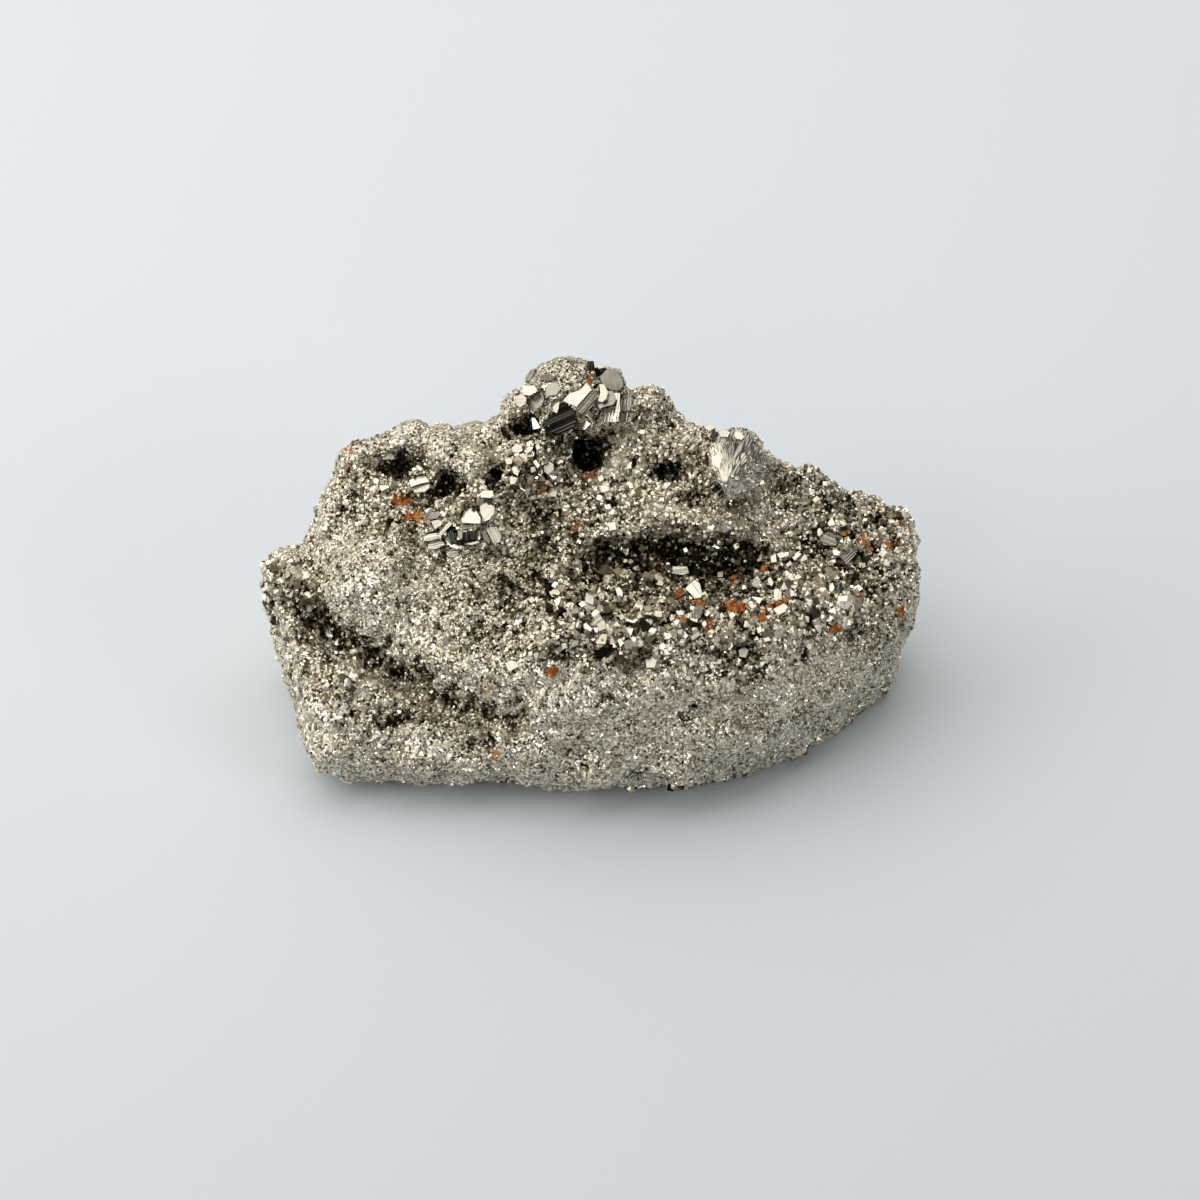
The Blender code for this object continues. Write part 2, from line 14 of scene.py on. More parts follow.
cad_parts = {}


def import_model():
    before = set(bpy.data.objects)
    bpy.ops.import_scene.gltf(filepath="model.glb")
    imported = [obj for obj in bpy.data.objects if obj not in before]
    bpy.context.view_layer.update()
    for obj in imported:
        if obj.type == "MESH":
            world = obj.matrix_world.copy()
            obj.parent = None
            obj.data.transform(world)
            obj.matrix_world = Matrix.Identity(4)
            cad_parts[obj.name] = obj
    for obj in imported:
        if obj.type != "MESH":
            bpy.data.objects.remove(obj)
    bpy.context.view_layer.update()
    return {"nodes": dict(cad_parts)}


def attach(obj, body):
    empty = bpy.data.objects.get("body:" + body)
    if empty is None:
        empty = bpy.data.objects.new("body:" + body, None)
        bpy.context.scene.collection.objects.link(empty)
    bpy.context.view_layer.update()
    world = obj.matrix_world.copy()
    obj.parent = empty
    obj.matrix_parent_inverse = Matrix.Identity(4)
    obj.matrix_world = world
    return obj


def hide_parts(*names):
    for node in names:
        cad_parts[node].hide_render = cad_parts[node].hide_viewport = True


MM = 0.001
SEED = 11

# The camera, and the same view as numbers, so that features can be laid out where the photo shows them
VIEW_TILT = math.radians(42.0)
VIEW_DISTANCE = 935.0 * MM
VIEW_TARGET = Vector((1.252, -2.023, 21.4)) * MM
LENS_MM = 178.8
SENSOR_MM = 36.0
PICTURE_PX = 1200.0
FOCAL_PX = LENS_MM / SENSOR_MM * PICTURE_PX
FORWARD = Vector((0, math.cos(VIEW_TILT), -math.sin(VIEW_TILT)))
UPWARD = Vector((0, math.sin(VIEW_TILT), math.cos(VIEW_TILT)))
ACROSS = Vector((1, 0, 0))
EYE = VIEW_TARGET - FORWARD * VIEW_DISTANCE

# The skin's net, how often its facets are smoothed, and how widely its hollows are told from its mean
SKIN_VOXEL = 0.50 * MM
SKIN_SMOOTHING = 5
HOLLOW_SMOOTHING = 14

# Spots on the lump as the camera sees them, for the tables from here to RUST: (x, y, half width and half
# height in px, value, and how far the spot is turned in degrees, if it is)

# Where the grains are coarse, from 0 to 1
COARSE = (
    (345, 662, 80, 30, 0.75, 38), (294, 583, 30, 30, 0.9), (676, 566, 110, 34, 1.0), (590, 590, 80, 50, 0.8),
    (640, 625, 130, 34, 0.8), (790, 610, 90, 50, 0.75, -10), (845, 545, 60, 62, 0.8, 20),
    (538, 465, 44, 26, 1.0), (410, 478, 55, 28, 0.8), (465, 500, 50, 50, 0.7), (650, 480, 75, 50, 0.75),
    (745, 520, 90, 30, 0.7), (560, 520, 50, 30, 0.7), (385, 488, 52, 34, 0.75), (820, 485, 40, 24, 0.6, 30),
    (390, 520, 50, 24, 0.5, 10), (480, 625, 60, 40, 0.35), (740, 665, 70, 26, 0.5, -20),
    (440, 715, 80, 22, 0.4, 14),
)

# Where the coarse grains are biggest
BIG = (
    (640, 628, 130, 40, 1.0), (600, 600, 60, 40, 0.8), (800, 605, 70, 45, 0.8, -10),
    (700, 650, 60, 24, 0.8, -10), (292, 585, 34, 30, 0.8), (538, 470, 34, 24, 0.5),
    (330, 665, 50, 24, 0.4, 38),
)

# Painted light and painted shade: where the metal is painted paler and where it is painted dimmer than
# elsewhere
PAINTED_LIGHT_SPOTS = (
    (625, 450, 30, 24, 0.8), (705, 508, 50, 24, 1.0), (735, 525, 44, 20, 1.0), (790, 490, 24, 18, 0.6),
    (670, 690, 26, 14, 0.7), (330, 645, 40, 14, 0.5, 38), (395, 690, 26, 16, 0.9, 20),
    (826, 655, 48, 34, 0.7, -20), (740, 700, 60, 24, 0.35, -12), (500, 480, 20, 24, 0.5),
    (437, 450, 16, 20, 0.8), (472, 462, 13, 24, 0.8, -8), (330, 610, 20, 40, 0.4, -35),
    (398, 670, 30, 11, 0.95, 34), (378, 618, 46, 34, 0.5, 35), (460, 710, 28, 11, 0.7, 16),
    (480, 540, 30, 16, 0.3), (545, 400, 40, 26, 0.5), (390, 600, 60, 40, 0.55, 30),
    (420, 680, 26, 8, 0.6, 30),
)
PAINTED_SHADE_SPOTS = (
    (490, 600, 70, 26, 0.7, 10), (542, 556, 24, 26, 1.0), (350, 570, 22, 30, 0.4, -20),
    (630, 600, 30, 20, 0.4), (310, 685, 20, 16, 0.5), (800, 570, 40, 16, 0.5), (480, 405, 20, 14, 0.6),
    (585, 642, 56, 24, 0.8), (700, 620, 70, 14, 0.4), (680, 570, 92, 22, 0.7), (650, 602, 110, 18, 0.4),
    (390, 530, 24, 16, 0.6), (465, 438, 22, 14, 0.4), (520, 592, 28, 16, 1.0), (680, 594, 70, 14, 1.0),
    (640, 596, 30, 18, 1.0), (872, 640, 26, 36, 0.7), (545, 552, 26, 22, 1.0), (512, 588, 30, 20, 1.0),
    (884, 632, 16, 30, 0.5), (900, 512, 22, 18, 0.7),
)
# How strongly the painted light and the painted shade of these spots raise and lower the tone
PAINTED_LIGHT_GAIN = 0.33
PAINTED_SHADE_LOSS = 0.32

# Where the skin lies in deep shade between the grains
DARK = (
    (588, 455, 17, 20, 1.0), (524, 428, 18, 12, 0.8), (608, 442, 12, 7, 0.8), (665, 470, 14, 8, 0.7),
    (405, 466, 22, 10, 0.7), (449, 489, 24, 12, 0.5), (500, 478, 10, 11, 0.9), (531, 515, 15, 13, 0.6),
    (699, 491, 14, 12, 0.6), (786, 481, 12, 20, 0.7, -30), (512, 590, 7, 9, 0.7), (503, 630, 6, 6, 0.7),
    (732, 663, 15, 9, 0.8), (763, 674, 12, 11, 0.8), (630, 690, 14, 8, 0.6), (526, 694, 12, 5, 0.7),
    (600, 702, 7, 4, 0.7), (690, 715, 6, 8, 0.7), (397, 719, 13, 8, 0.7), (485, 744, 8, 7, 0.7),
    (572, 748, 8, 4, 0.7), (576, 730, 6, 4, 0.6), (620, 758, 11, 4, 0.6), (636, 776, 11, 5, 0.6),
    (580, 767, 10, 5, 0.6), (880, 587, 8, 8, 0.7), (798, 715, 8, 8, 0.6), (366, 610, 5, 5, 0.6),
    (350, 580, 5, 5, 0.6), (667, 553, 22, 14, 1.0), (692, 570, 14, 10, 0.9), (592, 572, 17, 19, 0.85),
    (636, 556, 50, 15, 0.8), (725, 562, 54, 22, 0.75), (757, 572, 28, 26, 0.55), (720, 585, 50, 14, 0.45),
    (650, 586, 40, 14, 0.4), (606, 582, 26, 12, 0.45), (690, 624, 12, 6, 0.5), (700, 645, 18, 5, 0.6),
    (729, 658, 16, 6, 0.7), (304, 607, 14, 6, 0.9, 20), (330, 624, 26, 7, 1.0, 36),
    (334, 645, 17, 22, 0.65, 30), (376, 650, 28, 9, 1.0, 35), (414, 676, 28, 9, 1.0, 30),
    (455, 699, 28, 8, 0.95, 22), (498, 715, 26, 7, 0.9, 12), (300, 650, 10, 14, 0.4),
    (812, 545, 15, 12, 0.8), (784, 488, 8, 12, 0.7, -20), (862, 580, 12, 14, 0.4), (620, 610, 20, 8, 0.4),
    (684, 648, 12, 8, 0.4),
)

# Forms that swell out of the skin, by so many mm
SWELLS = (
    (518, 400, 9, 9, 0.9), (437, 447, 13, 17, 1.4), (472, 461, 12, 22, 1.4, -8), (490, 452, 8, 16, 0.8),
    (362, 450, 15, 11, 0.6), (418, 436, 15, 16, 0.6), (420, 483, 11, 9, 0.5), (762, 506, 11, 20, 0.7, 20),
    (808, 482, 14, 12, 0.7), (655, 408, 24, 16, 0.5), (690, 440, 22, 13, 0.5, 20),
    (525, 648, 24, 11, 0.6, -8), (452, 663, 22, 9, 0.6, 24), (610, 672, 20, 8, 0.4),
    (350, 590, 20, 40, 0.5, -35), (890, 568, 20, 16, 0.5), (875, 610, 14, 12, 0.4), (295, 582, 24, 18, 0.5),
)

# Where the skin stays calm and fine
CALM = (
    (558, 385, 40, 32, 1.0), (653, 408, 26, 18, 0.8), (437, 447, 13, 17, 0.8), (472, 461, 14, 22, 0.8, -8),
    (362, 448, 16, 12, 0.5), (762, 506, 12, 22, 0.8, 20),
)

# Rust
RUST = (
    (401, 501, 10, 5, 0.8), (417, 517, 9, 5, 1.0), (500, 456, 4, 3, 0.7), (543, 489, 5, 4, 0.6),
    (578, 525, 4, 4, 0.9), (594, 474, 6, 8, 0.55), (591, 379, 3, 8, 0.8), (590, 478, 9, 6, 0.6),
    (350, 452, 5, 4, 0.55), (352, 463, 4, 4, 0.6), (404, 516, 4, 3, 0.6), (680, 593, 5, 5, 0.9),
    (654, 608, 4, 4, 0.9), (696, 599, 3, 3, 0.8), (703, 602, 4, 4, 0.9), (727, 603, 4, 3, 0.9),
    (734, 605, 5, 5, 1.0), (743, 606, 5, 5, 0.9), (757, 610, 5, 2, 0.8), (766, 607, 4, 2, 0.8),
    (776, 604, 6, 2, 0.9), (787, 599, 3, 3, 0.9), (764, 616, 3, 4, 1.0), (709, 621, 4, 4, 1.0),
    (711, 627, 2, 2, 0.9), (732, 618, 4, 3, 0.9), (736, 576, 7, 5, 0.45), (679, 620, 3, 2, 0.9),
    (662, 567, 5, 3, 0.6), (764, 566, 5, 4, 0.7), (868, 549, 5, 4, 0.9), (888, 544, 4, 3, 0.8),
    (898, 542, 4, 3, 0.7), (902, 525, 3, 4, 0.7), (866, 537, 6, 3, 0.7), (844, 534, 4, 3, 0.6),
    (863, 597, 3, 3, 0.8), (834, 629, 4, 3, 0.8), (902, 611, 4, 6, 0.9), (316, 688, 3, 3, 0.9),
    (325, 696, 3, 3, 0.8), (359, 717, 3, 3, 0.6), (552, 672, 5, 5, 1.0), (491, 687, 4, 3, 0.7),
    (496, 755, 5, 5, 1.0), (696, 758, 3, 3, 0.7),
)
RUST_SPREAD = 1.05

# Noise fields: how long their waves are in mm, and a shift that makes each of them differ
WOBBLE = (1.6, 7.0)
SWAY = (4.5, 9.0)
HIDDEN_COARSE = (14.0, 3.0)
HIDDEN_BIG = (12.0, 61.0)
HIDDEN_DARK = (3.2, 31.0)
HIDDEN_RUST = (2.6, 21.0)
HIDDEN_RUST_PATCHES = (16.0, 51.0)
CREVICES = (1.9, 41.0)
BROAD_SWELLS = (6.5, 5.0)
LUMPS = (2.6, 1.0)
SMALL_LUMPS = (1.3, 2.0)
STREAKS = (1.1, 17.0)
CRYSTAL_MOTTLES = ((0.9, 71.0), (2.5, 73.0))

# Which way the streaks run, and how wide the skin's cells are
STREAKS_RUN = (0.9, -0.25, 0.36)
SKIN_CELL_MM = 1.5

# How high these forms stand on the skin
SWELL_MM = 0.55
LUMP_MM = 0.35
SMALL_LUMP_MM = 0.32
STREAK_MM = 0.22
GRAIN_MM = 0.45

# How far noise moves the edges of the large spots and of the small ones
LARGE_EDGES_PX = 16
SMALL_EDGES_PX = 5

# Cells of the ground's material: the width and the tilt of those that sparkle, whose tones also vary as
# painted glints, and the width of those between the seams that are painted dark as shade
SPARKLE_CELL_MM = 0.42
SPARKLE_TILT = 1.4
SEAM_CELL_MM = 0.55

# The round top of the ball: its middle in px, its radius in mm, and how far from it the skin still follows it
BALL_AT = (566, 399)
BALL_RADIUS_MM = 6.7
BALL_BLEND_MM = (1.4, 3.0)

# Crystal faces as the camera sees them: (name, corners in px, how far it leans from the line of sight to the
# right and upwards in degrees, how dull it is, its tone, which paints part of the face's bright or dark
# reflection into its colour as painted reflection, and, if it has ribs, how many and the direction that they
# run in)
FACETS = (
    ("ball_white", ((563, 400), (569, 393), (580, 390), (587, 382), (592, 390), (577, 407), (570, 404)),
     -9, 36, 0.1, 1.0),
    ("ball_grey", ((577, 407), (593, 389), (599, 389), (599, 396), (592, 407), (582, 416), (577, 413)),
     14, 6, 0.3, 0.72, 5, 47),
    ("ball_dark", ((543, 424), (551, 415), (556, 404), (563, 402), (570, 406), (575, 411), (577, 419),
     (574, 428), (566, 432), (555, 434), (545, 432)), 2, -4, 0.15, 0.36, 7, 24),
    ("ball_left", ((522, 385), (535, 385), (538, 390), (535, 393), (530, 396), (523, 395)),
     -12, 34, 0.1, 1.0),
    ("ball_left_low", ((529, 399), (535, 393), (541, 392), (544, 398), (541, 406), (537, 409), (533, 414),
     (530, 411)), -14, 11, 0.6, 0.76),
    ("ball_left_rim", ((531, 416), (535, 418), (541, 428), (533, 430)), -30, 12, 0.3, 0.95),
    ("ball_sliver", ((536, 419), (540, 421), (546, 430), (542, 430)), -8, 36, 0.1, 1.0),
    ("ball_drop", ((555, 404), (560, 400), (559, 408), (557, 413), (553, 411), (552, 407)),
     -14, 26, 0.6, 0.9),
    ("ball_patch", ((547, 384), (556, 382), (561, 389), (557, 395), (549, 396), (545, 399), (545, 391)),
     -14, 12, 0.7, 0.8),
    ("ball_step_a", ((599, 384), (604, 384), (608, 392), (606, 399), (602, 402), (598, 400), (600, 393)),
     -16, 30, 0.4, 0.95),
    ("ball_step_big", ((607, 391), (613, 391), (617, 400), (614, 405), (606, 407), (600, 409), (598, 405),
     (604, 400)), -12, 13, 0.7, 0.74),
    ("ball_step_b", ((614, 393), (620, 393), (620, 412), (615, 411), (617, 402)), -14, 30, 0.3, 1.0, 2, 88),
    ("ball_step_bar", ((620, 393), (629, 393), (632, 398), (630, 411), (620, 411)),
     -14, 14, 0.5, 0.85, 3, 88),
    ("ball_step_c", ((601, 411), (606, 408), (617, 405), (619, 411), (619, 421), (605, 422), (598, 425),
     (598, 418)), -30, 12, 0.2, 1.0, 5, 86),
    ("ball_step_d", ((619, 412), (631, 412), (632, 420), (628, 423), (619, 422)), -29, 14, 0.3, 0.95, 4, 88),
    ("ball_high", ((599, 377), (609, 367), (618, 371), (623, 379), (624, 386), (619, 391), (610, 390),
     (604, 387)), -14, 13, 0.9, 0.62),
    ("ball_high_ribs", ((598, 369), (606, 367), (609, 373), (609, 379), (603, 377), (598, 376)),
     6, -2, 0.2, 0.3, 4, 80),
    ("ball_high_edge", ((596, 366), (604, 364), (611, 367), (606, 369), (598, 370)), 0, 40, 0.6, 0.8),
    ("ball_crown_ribs", ((588, 361), (594, 361), (595, 370), (588, 371)), 10, 0, 0.3, 0.3, 3, 84),
    ("ball_crown_left", ((525, 378), (530, 370), (535, 368), (534, 374), (530, 380), (525, 382)),
     -14, 6, 0.8, 0.75, 3, 60),
    ("ball_crown_band", ((538, 376), (549, 373), (556, 377), (552, 381), (540, 380)), -10, 8, 0.6, 0.7),
    ("ball_foot_a", ((577, 424), (586, 419), (591, 424), (585, 430), (577, 429)), -28, 12, 0.4, 0.9),
    ("ball_foot_b", ((581, 435), (583, 432), (596, 429), (596, 432)), -31, 12, 0.2, 1.0),
    ("ball_foot_c", ((576, 430), (582, 431), (581, 435), (577, 435)), -30, 12, 0.3, 1.0),
    ("ball_foot_d", ((543, 433), (549, 433), (550, 437), (543, 437)), -8, 36, 0.3, 1.0),
    ("ball_foot_e", ((553, 434), (560, 432), (561, 436), (554, 438)), -12, 30, 0.4, 0.9, 3, 70),
    ("ball_side_a", ((515, 397), (521, 393), (527, 398), (526, 404), (520, 408), (515, 404)),
     -18, 22, 0.6, 0.85),
    ("ball_side_b", ((521, 404), (526, 404), (525, 409), (520, 409)), -10, 34, 0.3, 1.0),
    ("right_cap", ((733, 434), (737, 430), (741, 432), (745, 437), (742, 440), (736, 439)),
     -8, 34, 0.5, 0.95),
    ("right_cap_ribs", ((711, 433), (717, 431), (720, 436), (718, 441), (712, 440)),
     -6, 10, 0.3, 0.45, 3, 40),
    ("right_foot", ((710, 487), (718, 484), (727, 492), (722, 499), (714, 495)), -12, 18, 0.3, 0.85, 4, 48),
    ("right_sliver", ((705, 453), (708, 451), (709, 467), (706, 464)), 4, 0, 0.3, 0.3),
    ("right_face", ((709, 451), (719, 449), (722, 460), (720, 469), (712, 463)), -14, 30, 0.8, 1.0),
    ("right_ridge", ((727, 453), (733, 457), (732, 471), (727, 482), (722, 482), (718, 469)),
     -12, 30, 0.95, 0.9),
    ("right_gold", ((738, 454), (745, 452), (747, 461), (741, 466)), -8, 24, 0.6, 0.85, 3, 60),
    ("right_lens", ((733, 494), (737, 484), (743, 483), (740, 493)), -8, 16, 0.9, 0.9, 2, 60),
    ("right_brow", ((718, 431), (725, 428), (730, 432), (727, 437), (720, 437)), -14, 22, 0.9, 0.88),
    ("right_foot_groove", ((717, 494), (725, 487), (727, 490), (719, 497)), 2, -6, 0.2, 0.22, 2, 42),
    ("right_foot_slit", ((711, 489), (718, 484), (719, 486), (712, 491)), 2, -6, 0.2, 0.3),
    ("rosette_crown", ((479, 494), (482, 491), (493, 490), (494, 495), (490, 498), (482, 498)),
     -9, 36, 0.1, 1.0),
    ("rosette_round", ((479, 504), (484, 499), (490, 503), (495, 507), (495, 513), (490, 519), (484, 521),
     (480, 513)), -14, 27, 0.5, 0.92),
    ("rosette_shade", ((485, 498), (494, 499), (492, 505), (487, 503)), 8, 4, 0.4, 0.62),
    ("rosette_side", ((495, 507), (498, 512), (494, 520), (489, 523), (490, 518), (494, 512)),
     20, 18, 0.5, 0.8, 2, 60),
    ("rosette_bright", ((465, 507), (472, 506), (477, 511), (481, 518), (481, 524), (475, 524), (462, 523),
     (461, 518)), -12, 31, 0.3, 1.0),
    ("rosette_bright_low", ((461, 525), (472, 524), (474, 527), (463, 529)), -9, 36, 0.3, 1.0),
    ("rosette_left_a", ((426, 518), (431, 512), (438, 511), (441, 514), (438, 518), (430, 520)),
     -14, 11, 0.6, 0.7),
    ("rosette_left_b", ((430, 521), (438, 519), (442, 521), (440, 526), (435, 530)), -20, 20, 0.3, 0.85),
    ("rosette_strip", ((439, 530), (449, 521), (452, 524), (442, 536), (439, 536)),
     -22, 10, 0.3, 0.8, 3, 42),
    ("rosette_bar", ((423, 537), (428, 534), (440, 532), (441, 538), (428, 541), (424, 541)),
     -12, 30, 0.4, 0.95, 3, 6),
    ("rosette_bar_low", ((427, 543), (432, 541), (442, 540), (445, 545), (436, 549), (428, 549)),
     -14, 18, 0.5, 0.9, 2, 8),
    ("rosette_crescent", ((444, 538), (446, 535), (450, 541), (456, 545), (460, 547), (457, 549),
     (450, 546)), -9, 36, 0.1, 1.0),
    ("rosette_dark", ((446, 535), (451, 530), (457, 534), (456, 541), (450, 541)), 0, -3, 0.1, 0.3),
    ("rosette_dark_low", ((456, 541), (460, 539), (461, 546), (455, 543)), 4, 0, 0.3, 0.4),
    ("rosette_link", ((457, 530), (463, 531), (462, 540), (458, 537)), -13, 12, 0.6, 0.72),
    ("rosette_mirror", ((463, 533), (468, 531), (478, 531), (478, 540), (463, 541)), 0, -2, 0.05, 0.26),
    ("rosette_sill", ((461, 541), (479, 540), (479, 543), (473, 545), (463, 544)), -14, 24, 0.3, 0.9),
    ("rosette_jamb", ((478, 530), (481, 530), (480, 540), (478, 540)), -10, 34, 0.2, 1.0),
    ("rosette_plate", ((485, 529), (490, 526), (497, 526), (502, 536), (501, 541), (493, 544), (489, 536)),
     -13, 14, 0.5, 0.66, 5, -62),
    ("rosette_plate_side", ((480, 531), (485, 530), (491, 541), (490, 545), (484, 540)), -4, -6, 0.3, 0.4),
    ("rosette_foot_a", ((474, 547), (479, 540), (485, 539), (487, 542), (482, 549), (475, 550)),
     -12, 29, 0.4, 0.95),
    ("rosette_foot_b", ((446, 551), (459, 550), (459, 555), (454, 558), (448, 557)),
     -13, 11, 0.6, 0.76, 2, 20),
    ("rosette_foot_c", ((459, 553), (468, 549), (471, 551), (461, 557)), -10, 32, 0.3, 1.0, 2, 26),
    ("rosette_bead_a", ((441, 548), (445, 547), (446, 551), (441, 551)), -8, 36, 0.2, 1.0),
    ("rosette_bead_b", ((438, 513), (442, 510), (447, 513), (445, 517), (440, 516)), -12, 30, 0.4, 0.95),
    ("cluster_disc", ((518, 484), (520, 478), (524, 475), (529, 477), (532, 481), (533, 486), (530, 490),
     (525, 491), (520, 488)), -9, 35, 0.2, 1.0),
    ("cluster_a", ((511, 468), (513, 466), (519, 465), (521, 468), (519, 472), (518, 476), (513, 473)),
     -14, 27, 0.4, 0.92),
    ("cluster_b", ((525, 470), (527, 467), (530, 469), (529, 474), (526, 476)), -9, 35, 0.2, 1.0),
    ("cluster_c", ((537, 469), (543, 468), (543, 473), (541, 476), (538, 474)), -9, 36, 0.2, 1.0),
    ("cluster_d", ((543, 463), (548, 460), (554, 464), (554, 470), (548, 475), (544, 472)),
     -13, 13, 0.7, 0.78),
    ("cluster_e", ((532, 461), (536, 459), (540, 465), (537, 468)), -12, 30, 0.4, 0.95),
    ("cluster_f", ((556, 458), (564, 460), (563, 465), (559, 467), (556, 466)), -11, 32, 0.4, 0.95),
    ("cluster_g", ((511, 448), (516, 443), (522, 446), (523, 451), (519, 453), (512, 452)),
     -14, 27, 0.6, 0.92),
    ("cluster_h", ((524, 451), (528, 446), (533, 447), (530, 452), (527, 454)), -16, 24, 0.5, 0.9),
    ("cluster_i", ((533, 473), (536, 471), (537, 476), (533, 478)), -9, 36, 0.2, 1.0),
    ("cluster_j", ((504, 459), (510, 457), (513, 460), (512, 464), (507, 465)), -14, 28, 0.5, 0.95),
    ("cluster_k", ((509, 477), (512, 475), (518, 478), (515, 484), (510, 485)), -14, 26, 0.5, 0.9),
    ("cluster_l", ((533, 489), (538, 483), (540, 484), (536, 490)), -9, 36, 0.2, 1.0),
    ("cluster_m", ((548, 489), (553, 487), (558, 491), (556, 497), (549, 496)), -14, 24, 0.6, 0.88),
    ("cluster_n", ((526, 442), (531, 440), (534, 444), (531, 449), (526, 446)), -12, 24, 0.6, 0.9),
    ("cluster_o", ((535, 446), (539, 443), (541, 448), (537, 451)), -8, 22, 0.6, 0.85),
    ("cluster_p", ((530, 467), (535, 466), (536, 471), (531, 473)), -14, 13, 0.7, 0.78),
    ("cluster_q", ((521, 471), (525, 471), (524, 476), (520, 476)), -16, 18, 0.5, 0.85),
    ("block_a", ((409, 480), (417, 474), (427, 476), (430, 482), (420, 484), (411, 487)), -14, 29, 0.8, 1.0),
    ("block_b", ((411, 488), (420, 485), (430, 483), (430, 488), (425, 492), (414, 493)), -18, 16, 0.8, 0.9),
    ("east_a", ((776, 554), (781, 550), (787, 556), (780, 559)), -14, 28, 0.5, 0.95),
    ("east_b", ((791, 556), (798, 551), (802, 554), (794, 561)), -12, 30, 0.4, 0.95),
    ("east_c", ((798, 557), (806, 554), (808, 559), (800, 563)), -18, 22, 0.4, 0.9),
    ("east_bar_a", ((818, 536), (828, 531), (840, 537), (836, 546), (823, 545)), -8, 12, 0.5, 0.72, 4, -24),
    ("east_bar_b", ((839, 556), (850, 546), (857, 553), (846, 565)), 2, 14, 0.5, 0.72, 4, 44),
    ("east_cream", ((827, 523), (832, 516), (836, 525), (829, 527)), -14, 27, 0.5, 0.95),
    ("east_gleam", ((876, 532), (881, 525), (888, 530), (884, 535)), -10, 33, 0.3, 1.0, 2, 20),
    ("east_slip", ((829, 560), (836, 559), (836, 563), (829, 563)), -9, 35, 0.3, 1.0),
    ("east_tall", ((829, 584), (833, 582), (835, 588), (832, 593), (829, 591)), -9, 36, 0.2, 1.0),
    ("east_tall_side", ((835, 584), (842, 582), (843, 592), (836, 595)), 10, 4, 0.4, 0.6, 2, 85),
    ("east_wide", ((853, 587), (859, 584), (863, 588), (858, 592), (853, 591)), -10, 34, 0.4, 1.0),
    ("east_low", ((824, 621), (829, 614), (834, 617), (830, 622)), -14, 28, 0.5, 0.95),
    ("gem_left", ((685, 588), (691, 582), (702, 597), (695, 599)), -13, 30, 0.3, 1.0, 3, -48),
    ("gem_right", ((691, 582), (694, 579), (700, 583), (703, 596), (702, 597)), -2, 26, 0.4, 0.9),
    ("hollow_bar", ((672, 566), (687, 566), (689, 573), (683, 575), (671, 574)), -16, 18, 0.5, 0.8, 2, 2),
    ("wedge_top", ((591, 613), (596, 608), (600, 611), (598, 617), (592, 621)), -12, 31, 0.3, 1.0),
    ("wedge_ribs", ((587, 620), (599, 613), (604, 620), (602, 626), (596, 629), (591, 626)),
     2, 22, 0.4, 0.85, 4, 42),
    ("wedge_low", ((582, 625), (586, 622), (593, 629), (591, 632), (583, 628)), -16, 26, 0.5, 0.95, 2, -40),
    ("wedge_left", ((577, 615), (581, 611), (584, 612), (585, 618), (579, 619)), -13, 29, 0.6, 0.95),
    ("wedge_side", ((604, 622), (609, 624), (610, 631), (606, 632), (603, 627)), -14, 26, 0.6, 0.95),
    ("pair_a", ((606, 591), (607, 585), (610, 585), (611, 589), (609, 592)), -9, 36, 0.2, 1.0),
    ("pair_b", ((615, 588), (619, 586), (623, 591), (623, 597), (618, 597), (616, 592)), -9, 36, 0.2, 1.0),
    ("pair_c", ((605, 561), (608, 559), (611, 561), (609, 565), (606, 564)), -9, 35, 0.3, 1.0),
    ("pair_d", ((630, 599), (634, 597), (636, 602), (631, 603)), -9, 35, 0.3, 1.0),
    ("dark_gem", ((594, 653), (603, 647), (610, 647), (609, 654), (600, 660), (595, 658)), 0, -4, 0.1, 0.2),
    ("mid_a", ((617, 640), (620, 636), (624, 643), (620, 647)), -10, 34, 0.4, 1.0),
    ("mid_b", ((623, 641), (629, 639), (635, 641), (633, 648), (625, 649)), 0, 16, 0.6, 0.8),
    ("mid_c", ((629, 633), (634, 631), (638, 637), (633, 640), (629, 638)), -14, 22, 0.6, 0.85),
    ("mid_d", ((656, 645), (661, 641), (667, 645), (662, 650), (658, 649)), -12, 31, 0.4, 1.0),
    ("mid_e", ((645, 659), (652, 655), (657, 661), (655, 668), (646, 668)), -14, 27, 0.7, 0.92),
    ("mid_f", ((636, 659), (641, 657), (642, 662), (637, 662)), -9, 35, 0.3, 1.0),
    ("mid_g", ((619, 651), (622, 649), (623, 654), (619, 654)), -9, 36, 0.3, 1.0),
    ("mid_h", ((724, 641), (733, 639), (733, 646), (729, 650)), -13, 30, 0.5, 0.98),
    ("mid_i", ((712, 630), (718, 625), (721, 628), (715, 632)), -12, 29, 0.4, 0.95, 2, 34),
    ("mid_j", ((704, 611), (708, 609), (711, 613), (707, 617), (704, 615)), -16, 24, 0.6, 0.9),
    ("mid_k", ((719, 614), (722, 612), (725, 616), (721, 620)), -10, 20, 0.6, 0.82),
    ("mid_l", ((701, 623), (705, 620), (707, 624), (703, 628)), -13, 29, 0.5, 0.95),
    ("mid_m", ((687, 613), (692, 612), (691, 621), (688, 622)), -12, 30, 0.4, 0.95, 2, 84),
    ("mid_n", ((681, 634), (684, 630), (688, 635), (685, 639)), -13, 29, 0.5, 0.95),
    ("mid_o", ((690, 637), (699, 631), (701, 635), (692, 641)), -8, 18, 0.5, 0.82, 3, 32),
    ("mid_p", ((750, 596), (757, 597), (763, 598), (762, 601), (751, 600)), -12, 31, 0.5, 0.98),
    ("mid_q", ((755, 577), (758, 576), (759, 579), (756, 580)), -9, 36, 0.3, 1.0),
    ("mid_r", ((773, 590), (777, 588), (782, 591), (782, 599), (774, 599)), -12, 31, 0.4, 1.0, 3, 86),
